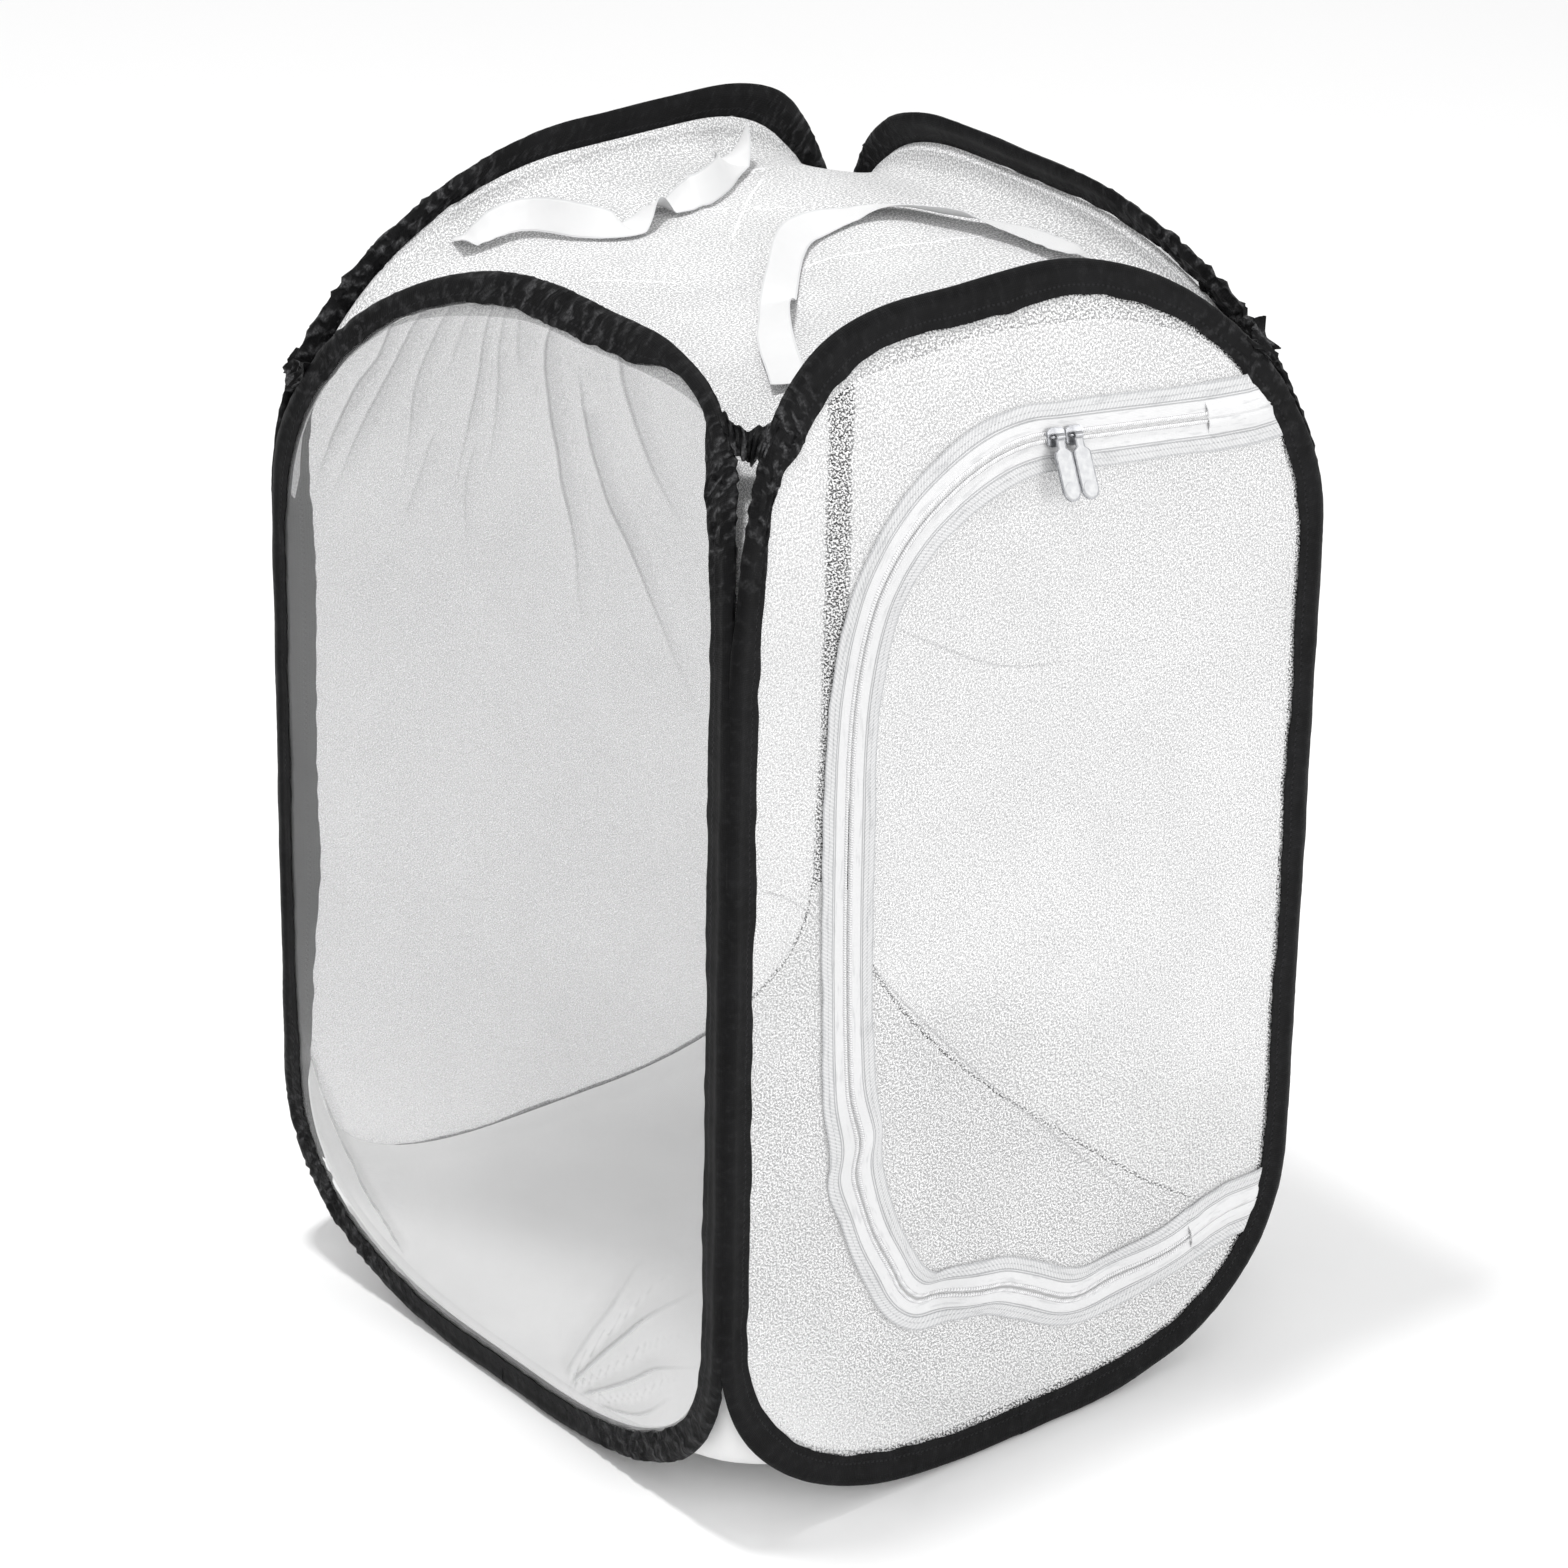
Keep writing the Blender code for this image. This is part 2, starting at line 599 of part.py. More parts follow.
def make_zip(side, line, centre):
    levels = (TAPE_LEVEL, TAPE_LEVEL + ZIP_TAPE_THICKNESS)
    coil = (ZIP_INNER, ZIP_INNER + ZIP_COIL_WIDTH)
    make("zip_tape_frame", "zip_tape", *strip(side, line, ZIP_TAPE_START, ZIP_TAPE_END, *levels))
    make("zip_coil_frame", "zip_coil", *strip(side, line, *coil, COIL_LEVEL, COIL_TOP))
    cut = flap_line(side, line)
    made = strip(side, cut, -ZIP_TAPE_END, -ZIP_TAPE_START, *levels)
    make("zip_tape_door", "zip_tape", *made, centre)
    made = strip(side, cut, -coil[1], -coil[0], COIL_LEVEL, COIL_TOP)
    make("zip_coil_door", "zip_coil", *made, centre)
    patch = (COIL_TOP + GAP, COIL_TOP + GAP + ZIP_TAPE_THICKNESS)
    for end, name in ((0, "top"), (-1, "foot")):
        for whole, part, sign in ((line, "frame", 1), (cut, "door", -1)):
            run = whole if end == 0 else whole[::-1]
            length = np.concatenate([[0], np.cumsum(np.linalg.norm(np.diff(run, axis=0), axis=1))])
            at = np.linspace(0, PATCH_LENGTH, PATCH_STEPS + 1)
            short = np.stack([np.interp(at, length, run[:, k]) for k in (0, 1)], axis=1)
            turn = sign if end == 0 else -sign
            made = strip(side, short, turn * GAP, turn * ZIP_TAPE_END, *patch)
            make(f"zip_end_{name}_{part}", "zip_tape", *made, centre if sign < 0 else None)


def run_frame(side, along):
    """A matrix at a place on the zip's straight run: run, outwards, and up along the front."""
    shares = np.array(ZIP_PATH_SHARES)[1:8] * (side.half, CAGE_HEIGHT)
    ends = [side.place(*shares[k]) for k in (-1, 0)]
    run = ends[1] - ends[0]
    run /= np.linalg.norm(run)
    height = np.interp(along, shares[::-1, 0], shares[::-1, 1])
    spot = side.place(along, height)
    out = side.place(along, height, GAP) - spot
    out -= run * out.dot(run)
    out /= np.linalg.norm(out)
    up = np.cross(run, -out)
    frame = Matrix.Identity(4)
    for k, axis in enumerate((run, -out, up)):
        for row in range(3):
            frame[row][k] = axis[row]
    for row in range(3):
        frame[row][3] = spot[row]
    return frame


def joined(base, *others):
    """Joins helper solids to an object with exact unions, and hides the helpers."""
    for other in others:
        other.hide_render = True
        other.hide_viewport = True
        step = base.modifiers.new(other.name, "BOOLEAN")
        step.operation = "UNION"
        step.solver = "EXACT"
        step.object = other


def prism(outline, low, high, axis):
    """A straight solid from a flat outline, between two places on an axis."""
    rows = [[np.insert(np.array(p, float), axis, level) for p in outline] for level in (low, high)]
    return swept(rows, False)


def circle(radius, sides):
    turns = [2 * math.pi * (k + 0.5) / sides for k in range(sides)]
    return [(radius * math.cos(t), radius * math.sin(t)) for t in turns]


PLATE_LOW = COIL_TOP + SLIDER_CLEARANCE
PLATE_TOP = PLATE_LOW + SLIDER_PLATE
BAIL_LEVEL = PLATE_TOP + BAIL_HEIGHT


def make_slider(frame, name):
    """A slider in its own frame: X along the zip, -Y outwards, Z up along the front."""
    half = SLIDER_LENGTH / 2
    flange = TAPE_LEVEL + ZIP_TAPE_THICKNESS + SLIDER_CLEARANCE
    wedge = ZIP_INNER - SLIDER_CLEARANCE
    wing_top = COIL_LEVEL - SLIDER_CLEARANCE
    rows = []
    for x, width in ((-half, SLIDER_NOSE_WIDTH), (-half / 2, SLIDER_WIDTH), (half, SLIDER_WIDTH)):
        w = width / 2
        wall = w - SLIDER_WALL
        wing = SLIDER_NOSE_WIDTH / 2 - SLIDER_WALL
        section = (
            (-w, PLATE_TOP), (w, PLATE_TOP), (w, flange), (wall, flange), (wall, PLATE_LOW),
            (wedge, PLATE_LOW), (wedge, wing_top - SLIDER_PLATE), (-wing, wing_top - SLIDER_PLATE),
            (-wing, wing_top), (-wedge, wing_top), (-wedge, PLATE_LOW), (-wall, PLATE_LOW),
            (-wall, flange), (-w, flange),
        )
        rows.append([(x, -depth, up) for up, depth in section])
    slider = make(name, "pull", *swept(rows, False))
    slider.matrix_world = frame
    foot, reach = PLATE_TOP - BAIL_SINK, BAIL_SPAN / 2
    pin = circle(BAIL_PIN_DIAMETER / 2, BAIL_SIDES)
    rows = []
    for sign, depth, mitre in ((1, foot, 0), (1, BAIL_LEVEL, 1), (-1, BAIL_LEVEL, 1), (-1, foot, 0)):
        rows.append([(sign * (a - reach), -depth - mitre * a, b) for a, b in pin])
    bail = make(name + "_bail", "pull", *swept(rows, False))
    bail.matrix_world = frame
    joined(slider, bail)


def make_pull(frame, name):
    """A pull in its own frame at its bar: X along the bar, -Z down its length."""
    bore = BAIL_PIN_DIAMETER / 2 + GAP
    outer = bore + PULL_WALL
    neck, wide = PULL_NECK_WIDTH / 2, PULL_WIDTH / 2
    start = (bore + outer) / 2
    turns = np.linspace(0, -math.pi, PULL_SIDES + 1)
    middle = -PULL_LENGTH + wide
    shoulder = PULL_NECK_LENGTH + PULL_SHOULDER
    outline = [(neck, -start), (neck, -PULL_NECK_LENGTH), (wide, -shoulder)]
    outline += [(wide * math.cos(t), middle + wide * math.sin(t)) for t in turns]
    outline += [(-wide, -shoulder), (-neck, -PULL_NECK_LENGTH), (-neck, -start)]
    pull = make(name, "pull", *prism(outline, -PULL_THICKNESS / 2, PULL_THICKNESS / 2, 1))
    rows = []
    ring = circle(outer, PULL_SIDES)
    hole = circle(bore, PULL_SIDES)
    for x, line in ((-neck, ring), (neck, ring), (neck, hole), (-neck, hole)):
        rows.append([(x, a, b) for a, b in line])
    eye = make(name + "_eye", "pull", *swept(rows, True))
    pad_outline = [(a, middle + b) for a, b in circle(PULL_PAD_DIAMETER / 2, PULL_SIDES)]
    half = PULL_PAD_THICKNESS / 2
    pad = make(name + "_pad", "pull", *prism(pad_outline, -half, half, 1))
    tilt = Matrix.Rotation(math.radians(-PULL_REST_TILT_DEGREES), 4, "X")
    place = frame @ Matrix.Translation((0.0, -BAIL_LEVEL, 0.0)) @ tilt
    for piece in (pull, eye, pad):
        piece.matrix_world = place
    joined(pull, eye, pad)


def rim_place(side, plus, height):
    """A place just beyond a hoop's outer rim, at a height, on its -run or +run side."""
    line = side.outline(TAPE_WIDTH / 2 + GAP)
    half = len(line) // 2
    run = line[1:half] if plus else line[half + 1:][::-1]
    along = np.interp(height, run[:, 1], run[:, 0])
    return side.place(along, height)


def tie_level(ends):
    """The height where two hoops, which part towards the top, are a tie's span apart."""
    low, high = CAGE_HEIGHT / 2, CAGE_HEIGHT - TAPE_WIDTH - TIE_HEIGHT
    for _ in range(TIE_SEARCH_STEPS):
        level = (low + high) / 2
        a, b = (rim_place(side, plus, level) for side, plus in ends)
        if np.linalg.norm(a - b) < TIE_SPAN:
            low = level
        else:
            high = level
    return level


def make_tie(name, *ends):
    """A short strap that bridges two hoops where they part."""
    level = tie_level(ends)
    rows = []
    for k in range(3):
        height = level + TIE_HEIGHT * (k - 1) / 2
        a, b = (rim_place(side, plus, height) for side, plus in ends)
        row = []
        for t in np.linspace(0, 1, TIE_STEPS + 1):
            p = a * (1 - t) + b * t
            p[2] -= 4 * TIE_SAG * t * (1 - t)
            row.append(p)
        rows.append(row)
    make(name, "tape", *skin(rows, TIE_THICKNESS))


def height_on(grid, x, y):
    """The height of a grid of surface points at a place in plan, whichever way its cells fold."""
    heights = []
    for turn in (0, 1):
        best = None
        for i in range(grid.shape[0] - 1):
            for j in range(grid.shape[1] - 1):
                cell = [grid[i, j], grid[i, j + 1], grid[i + 1, j + 1], grid[i + 1, j]]
                a, b, c, d = cell[turn:] + cell[:turn]
                for p, q, r in ((a, b, c), (a, c, d)):
                    u, v = q - p, r - p
                    area = u[0] * v[1] - u[1] * v[0]
                    s = ((x - p[0]) * v[1] - (y - p[1]) * v[0]) / area
                    t = ((y - p[1]) * u[0] - (x - p[0]) * u[1]) / area
                    miss = max(0.0, -s, -t, s + t - 1)
                    if best is None or miss < best[0]:
                        best = (miss, p[2] + s * u[2] + t * v[2])
        heights.append(best[1])
    return max(heights)


def make_ribbon(name, shares, grid):
    line = smooth_line([(x * CAGE_WIDTH / 2, y * CAGE_DEPTH / 2) for x, y in shares], RIBBON_STEPS)
    normals = flat_normals(line)
    rows = []
    for k in range(3):
        row = []
        for point, normal in zip(line, normals):
            x, y = point + normal * RIBBON_WIDTH * (k - 1) / 2
            row.append((x, y, height_on(grid, x, y) + RIBBON_LIFT))
        rows.append(row)
    make(name, "ribbon", *skin(rows, RIBBON_THICKNESS))


def main():
    for old in list(bpy.data.objects):
        bpy.data.objects.remove(old)
    sides = {
        "front": Side("front", FRONT_DROP, FRONT_LEAN, FRONT_SHIFT, FRONT_SPLAY),
        "left": Side("left", LEFT_DROP, LEFT_LEAN, LEFT_SHIFT, LEFT_SPLAY),
        "right": Side("right", RIGHT_DROP, RIGHT_LEAN, RIGHT_SHIFT, RIGHT_SPLAY),
        "back": Side("back", BACK_DROP, BACK_LEAN, BACK_SHIFT, BACK_SPLAY),
    }
    for side in sides.values():
        make_binding(side)
        make_wire(side)
    make_sheer_panel(sides["left"])
    make_plain_panel(sides["right"])
    make_plain_panel(sides["back"])
    top = make_top(sides)
    make_floor(sides)
    front = sides["front"]
    line = zip_line(front)
    centre = hinge_centre(front)
    make_front(front, line, centre)
    make_zip(front, line, centre)
    middle = SLIDERS_MIDDLE_SHARE * front.half
    for name, sign in (("a", -1), ("b", 1)):
        frame = run_frame(front, middle + sign * (SLIDER_LENGTH + GAP) / 2)
        make_slider(frame, f"slider_{name}")
        make_pull(frame, f"pull_{name}")
    left, right, back = sides["left"], sides["right"], sides["back"]
    make_tie("corner_tie_front_left", (left, False), (front, False))
    make_tie("corner_tie_front_right", (front, True), (right, False))
    make_tie("corner_tie_back_right", (right, True), (back, True))
    make_tie("corner_tie_back_left", (back, False), (left, True))
    make_ribbon("hanging_ribbon_rear", REAR_RIBBON_SHARES, top)
    make_ribbon("hanging_ribbon_front", FRONT_RIBBON_SHARES, top)


main()
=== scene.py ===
"""Looks for the pop-up insect cage: four hoops in black tape, white netting, one sheer side,
a cloth floor, a zipped door flap, corner ties and hanging ribbons. Metres, +Z up."""

import json
import math

import bmesh
import bpy
import numpy as np
from mathutils import Matrix, Vector
from mathutils.geometry import delaunay_2d_cdt

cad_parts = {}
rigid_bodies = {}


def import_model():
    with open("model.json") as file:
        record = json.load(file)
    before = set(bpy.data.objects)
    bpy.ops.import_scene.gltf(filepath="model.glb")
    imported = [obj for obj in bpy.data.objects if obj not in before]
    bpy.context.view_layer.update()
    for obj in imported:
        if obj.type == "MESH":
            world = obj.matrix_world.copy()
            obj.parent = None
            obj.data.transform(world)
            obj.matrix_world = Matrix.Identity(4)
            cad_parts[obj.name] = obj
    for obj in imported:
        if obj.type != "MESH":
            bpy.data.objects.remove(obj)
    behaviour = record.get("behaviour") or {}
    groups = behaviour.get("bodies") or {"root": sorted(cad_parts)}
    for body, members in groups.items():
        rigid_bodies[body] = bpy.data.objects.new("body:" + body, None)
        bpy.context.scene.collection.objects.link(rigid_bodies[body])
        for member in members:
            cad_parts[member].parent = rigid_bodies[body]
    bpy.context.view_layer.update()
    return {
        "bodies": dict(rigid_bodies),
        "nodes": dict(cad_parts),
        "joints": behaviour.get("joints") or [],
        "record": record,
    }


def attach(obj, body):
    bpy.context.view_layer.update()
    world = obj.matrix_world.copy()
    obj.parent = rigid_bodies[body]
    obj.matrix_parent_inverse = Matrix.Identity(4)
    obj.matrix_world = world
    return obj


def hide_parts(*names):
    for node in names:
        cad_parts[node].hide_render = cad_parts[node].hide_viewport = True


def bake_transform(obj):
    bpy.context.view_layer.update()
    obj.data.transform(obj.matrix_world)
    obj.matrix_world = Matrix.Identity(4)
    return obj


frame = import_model()

# Camera, in the photograph's own pixels.
FRAME_PIXELS = 1568
FOCAL_PIXELS = 5804.0
SHIFT_PIXELS = (5.99, -67.36)
CAMERA_PLACE = (-1.70297, -2.08598, 1.59346)
CAMERA_YAW, CAMERA_PITCH, CAMERA_ROLL = 0.8859, 0.4382, 0.0185
SENSOR_WIDTH = 36.0

# The hoops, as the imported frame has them.
CAGE_WIDTH = 0.380
CAGE_HEIGHT = 0.610
CORNER_INSET = 0.0013
TAPE_WIDTH = 0.016
TAPE_THICKNESS = 0.005
TOP_BEND = (0.143, 0.153, 2.17)
FOOT_BEND = (0.152, 0.106, 2.36)
HOOPS = {
    "front": ((0, -1, 0), (1, 0, 0), 0.0, 0.0515, -0.004, 0.009),
    "left": ((-1, 0, 0), (0, 1, 0), 0.0148, 0.0445, -0.026, -0.0065),
    "right": ((1, 0, 0), (0, 1, 0), 0.0033, 0.0354, 0.0075, 0.0223),
    "back": ((0, 1, 0), (1, 0, 0), 0.0115, -0.004, 0.044, 0.0196),
}
HOOP_POINTS = 700

# The zip's middle line, as shares of the half width and of the height, and what lies beside it.
ZIP_SHARES = (
    (0.808, 0.8580), (0.740, 0.8596), (0.650, 0.8620), (0.550, 0.8656), (0.450, 0.8692),
    (0.350, 0.8728), (0.250, 0.8764), (0.150, 0.8800), (0.050, 0.8836), (-0.060, 0.8815),
    (-0.170, 0.8740), (-0.280, 0.8620), (-0.385, 0.8460), (-0.480, 0.8240), (-0.560, 0.7940),
    (-0.615, 0.7500), (-0.638, 0.6900), (-0.641, 0.6000), (-0.637, 0.5010), (-0.625, 0.4120),
    (-0.606, 0.3480), (-0.568, 0.2840), (-0.500, 0.2240), (-0.412, 0.1780), (-0.320, 0.1560),
    (-0.215, 0.1530), (-0.090, 0.1480), (0.040, 0.1300), (0.170, 0.1110), (0.310, 0.1015),
    (0.470, 0.1070), (0.650, 0.1190), (0.808, 0.1270),
)
ZIP_TAPE_START, ZIP_TAPE_END = 0.0027, 0.0158
COIL_START, COIL_END = 0.0006, 0.0027
TOOTH_PITCH = 0.0015
NET_REACH = 0.0088
PATCH_REACH, PATCH_RUN_ON = 0.030, 0.034

# How thick the cloths are, and how far past the hoop's middle the sides run under the tape.
CLOTH, FLOOR_CLOTH, TAPE_CLOTH, TIE_CLOTH, RIBBON_CLOTH = 0.0005, 0.0008, 0.0006, 0.0009, 0.0003
SEWN_IN = 0.001


def uneven(a, b, size, seed):
    """A smooth uneven value, mostly between -1 and 1, with bumps of about that size."""
    dice = np.random.default_rng(seed)
    total = 0.0
    for _ in range(7):
        way, wave, phase = dice.uniform(0, 2 * math.pi), dice.uniform(0.7, 1.7), dice.uniform(0, 7)
        run = a * math.cos(way) + b * math.sin(way)
        total = total + np.sin(run * 2 * math.pi / (size * wave) + phase)
    return total / 3.2


def eased(value, low, high):
    """0 below low, 1 above high, smooth between them."""
    t = np.clip((value - low) / (high - low), 0, 1)
    return t * t * (3 - 2 * t)


def flat_normals(line, closed=False):
    """Unit normals of a line in the plane, to the right of its direction."""
    if closed:
        ahead = np.roll(line, -1, axis=0) - np.roll(line, 1, axis=0)
    else:
        ahead = np.gradient(line, axis=0)
    ahead = ahead / np.linalg.norm(ahead, axis=1)[:, None]
    return np.stack([ahead[:, 1], -ahead[:, 0]], axis=1)


def smooth_line(points, steps):
    """Points of a smooth curve through the given ones."""
    points = np.array(points, float)
    padded = np.vstack([2 * points[0] - points[1], points, 2 * points[-1] - points[-2]])
    where = np.linspace(0, len(points) - 1, steps + 1)
    first = np.minimum(where.astype(int), len(points) - 2)
    t = (where - first)[:, None]
    a, b, c, d = (padded[first + k] for k in range(4))
    square = 2 * a - 5 * b + 4 * c - d
    cube = 3 * b - a - 3 * c + d
    return (2 * b + (c - a) * t + square * t**2 + cube * t**3) / 2


def lengths(line):
    """The distance run along a line at each of its points."""
    steps = np.linalg.norm(np.diff(line, axis=0), axis=1)
    return np.concatenate([[0], np.cumsum(steps)])


def even(line, count):
    """A line again, at even steps of its length."""
    run = lengths(line)
    at = np.linspace(0, run[-1], count)
    return np.stack([np.interp(at, run, line[:, k]) for k in range(line.shape[1])], axis=1)


class Hoop:
    """One side of the cage: places on it are along it, up it, and out of it."""

    def __init__(self, name):
        self.name = name
        out, run, drop, self.lean, self.shift, self.splay = HOOPS[name]
        self.out, self.run = np.array(out, float), np.array(run, float)
        self.half = CAGE_WIDTH / 2 - CORNER_INSET - TAPE_WIDTH / 2
        self.plane = CAGE_WIDTH / 2 - TAPE_THICKNESS / 2
        self.top = CAGE_HEIGHT - drop - TAPE_WIDTH / 2
        self.foot = TAPE_WIDTH / 2
        self.line = even(self.bends(48), HOOP_POINTS + 1)
        self.normals = flat_normals(self.line[:-1], closed=True)
        self.normals = np.vstack([self.normals, self.normals[:1]])

    def bends(self, steps):
        """The hoop's line from the middle of its foot round to the same place."""
        turn = np.linspace(0, math.pi / 2, steps)
        points = [(0.0, self.foot)]
        for right, up, order in ((1, 0, turn[::-1]), (1, 1, turn), (-1, 1, turn[::-1]), (-1, 0, turn)):
            width, height, power = TOP_BEND if up else FOOT_BEND
            level = self.top - height if up else self.foot + height
            for t in order:
                a = self.half - width + width * math.cos(t) ** (2 / power)
                z = height * math.sin(t) ** (2 / power)
                points.append((right * a, level + z if up else level - z))
        points.append((0.0, self.foot))
        return np.array(points)

    def place(self, along, up, out=0.0):
        """Points in space for arrays of places."""
        along, up = np.asarray(along, float), np.asarray(up, float)
        top = np.maximum(0, (up - self.top + TOP_BEND[1]) / TOP_BEND[1])
        low = np.maximum(0, 1 - (up - self.foot) / FOOT_BEND[1])
        reach = self.plane - self.lean * top**2 + self.splay * low**2
        slope = -2 * self.lean * top / TOP_BEND[1] - 2 * self.splay * low / FOOT_BEND[1]
        size = np.hypot(1, slope)
        reach = reach + out / size
        height = up - out * slope / size
        along = along + self.shift * top**3
        flat = reach[..., None] * self.out + along[..., None] * self.run
        return flat + height[..., None] * np.array((0, 0, 1.0))

    def offset(self, amount):
        """The hoop's line again, that far outside its middle."""
        return self.line + self.normals * amount


def far_share(along, up, spot, reach):
    """The square of each place's distance from a spot, as a share of a reach."""
    return ((along - spot[0]) ** 2 + (up - spot[1]) ** 2) / reach**2


# Where a hoop's tape is scrunched: along, up, reach and strength.
SCRUNCH = {
    "front": ((-0.148, 0.564, 0.036, 1.0), (0.155, 0.545, 0.030, 0.3)),
    "left": (
        (-0.148, 0.564, 0.040, 1.0), (0.03, 0.585, 0.060, 0.55), (0.150, 0.05, 0.06, 0.6),
        (-0.13, 0.03, 0.06, 0.5), (0.16, 0.53, 0.04, 0.3),
    ),
    "right": ((-0.135, 0.555, 0.060, 1.0), (0.15, 0.54, 0.05, 0.4)),
    "back": ((-0.150, 0.55, 0.065, 1.0), (0.16, 0.54, 0.06, 0.5)),
}


def scrunch(side, line):
    """How strongly the tape is scrunched at each point of its line."""
    total = np.full(len(line), 0.05)
    for *spot, reach, strength in SCRUNCH[side.name]:
        total = total + strength * np.exp(-far_share(*line.T, spot, reach))
    return np.minimum(total, 1.0)


def placed(name, data, place=None):
    """A new object in the scene, in its place."""
    made = bpy.data.objects.new(name, data)
    bpy.context.scene.collection.objects.link(made)
    if place is not None:
        made.matrix_world = place
    return made


def mesh_object(name, points, faces, flat=None, smooth=True, **marks):
    """A mesh object; flat holds each point's place on the cut cloth, and marks other values, in metres."""
    mesh = bpy.data.meshes.new(name)
    mesh.from_pydata([tuple(p) for p in points], [], [tuple(f) for f in faces])
    if flat is not None:
        layer = mesh.uv_layers.new(name="cut")
        corners = np.empty(len(mesh.loops), np.int32)
        mesh.loops.foreach_get("vertex_index", corners)
        layer.data.foreach_set("uv", np.asarray(flat, np.float32)[corners].ravel())
    for key, values in marks.items():
        mesh.attributes.new(key, "FLOAT", "POINT").data.foreach_set("value", np.asarray(values, np.float32))
    if smooth:
        mesh.shade_smooth()
    return placed(name, mesh)


def grid_faces(rows, columns):
    """The four-sided faces of a grid of points."""
    first = np.arange(rows - 1)[:, None] * columns + np.arange(columns - 1)[None]
    first = first.ravel()
    return np.stack([first, first + 1, first + columns + 1, first + columns], axis=1)


def strip_places(run, across):
    """Places on the cut cloth for a grid of points along a strip and across it."""
    return np.stack(np.broadcast_arrays(run[:, None], across[None]), axis=-1).reshape(-1, 2)


def rim_of(faces):
    """The edges that only one face has, in that face's direction."""
    seen = {}
    for face in faces:
        face = list(face)
        for a, b in zip(face, face[1:] + face[:1]):
            if (b, a) in seen:
                del seen[(b, a)]
            else:
                seen[(a, b)] = True
    return list(seen)


def cloth(name, points, faces, flat, thickness=CLOTH, **marks):
    """A closed thin sheet round an open surface."""
    points, faces = np.asarray(points, float), [list(map(int, f)) for f in faces]
    normals = np.zeros_like(points)
    for face in faces:
        a, b, c = (points[face[k]] for k in (0, 1, 2))
        turn = np.cross(b - a, c - a)
        for k in face:
            normals[k] += turn
    normals /= np.maximum(np.linalg.norm(normals, axis=1), 1e-12)[:, None]
    count = len(points)
    both = np.vstack([points + normals * thickness / 2, points - normals * thickness / 2])
    closed = faces + [[k + count for k in face[::-1]] for face in faces]
    closed += [[b, a, a + count, b + count] for a, b in rim_of(faces)]
    marks = {key: np.tile(values, 2) for key, values in marks.items()}
    made = mesh_object(name, both, closed, np.vstack([flat, flat]), **marks)
    made.data.set_sharp_from_angle(angle=math.radians(50))
    return made


def strip_cloth(name, grid, run, across, thickness=CLOTH, **marks):
    """A closed sheet from a grid of surface points, along a strip and across it."""
    faces, flat = grid_faces(len(run), len(across)), strip_places(run, across)
    return cloth(name, grid.reshape(-1, 3), faces, flat, thickness, **marks)


def inside(points, loop):
    """Which flat points lie in a closed loop."""
    ahead = np.roll(loop, -1, axis=0)
    held = np.zeros(len(points), bool)
    for (x0, y0), (x1, y1) in zip(loop, ahead):
        if y0 == y1:
            continue
        spans = (y0 > points[:, 1]) != (y1 > points[:, 1])
        cross = x0 + (points[:, 1] - y0) / (y1 - y0) * (x1 - x0)
        held ^= spans & (cross > points[:, 0])
    return held


def nearest(points, loop):
    """The distance from each flat point to a loop's points."""
    best = np.full(len(points), 9.0)
    for p in loop:
        best = np.minimum(best, np.hypot(points[:, 0] - p[0], points[:, 1] - p[1]))
    return best


def cut_cloth(outer, spacing):
    """Flat points and faces of a cloth cut to an outer loop."""
    low, high = outer.min(axis=0), outer.max(axis=0)
    across = np.arange(low[0], high[0], spacing)
    rows = np.arange(low[1], high[1], spacing * 0.87)
    points = np.array([(x + (spacing / 2 if k % 2 else 0), z) for k, z in enumerate(rows) for x in across])
    points = points[inside(points, outer)]
    points = points[nearest(points, outer) > spacing * 0.55]
    edges = [(i, (i + 1) % len(outer)) for i in range(len(outer))]
    flat = [Vector(p) for p in np.vstack([outer, points])]
    flat, _, faces = delaunay_2d_cdt(flat, edges, [], 0, 1e-7)[:3]
    flat = np.array([tuple(p) for p in flat])
    middles = np.array([flat[list(face)].mean(axis=0) for face in faces])
    faces = [list(face) for face, kept in zip(faces, inside(middles, outer)) if kept]
    used = sorted({k for face in faces for k in face})
    place = {k: i for i, k in enumerate(used)}
    return flat[used], [[place[k] for k in face] for face in faces]


SEAM = 0.002


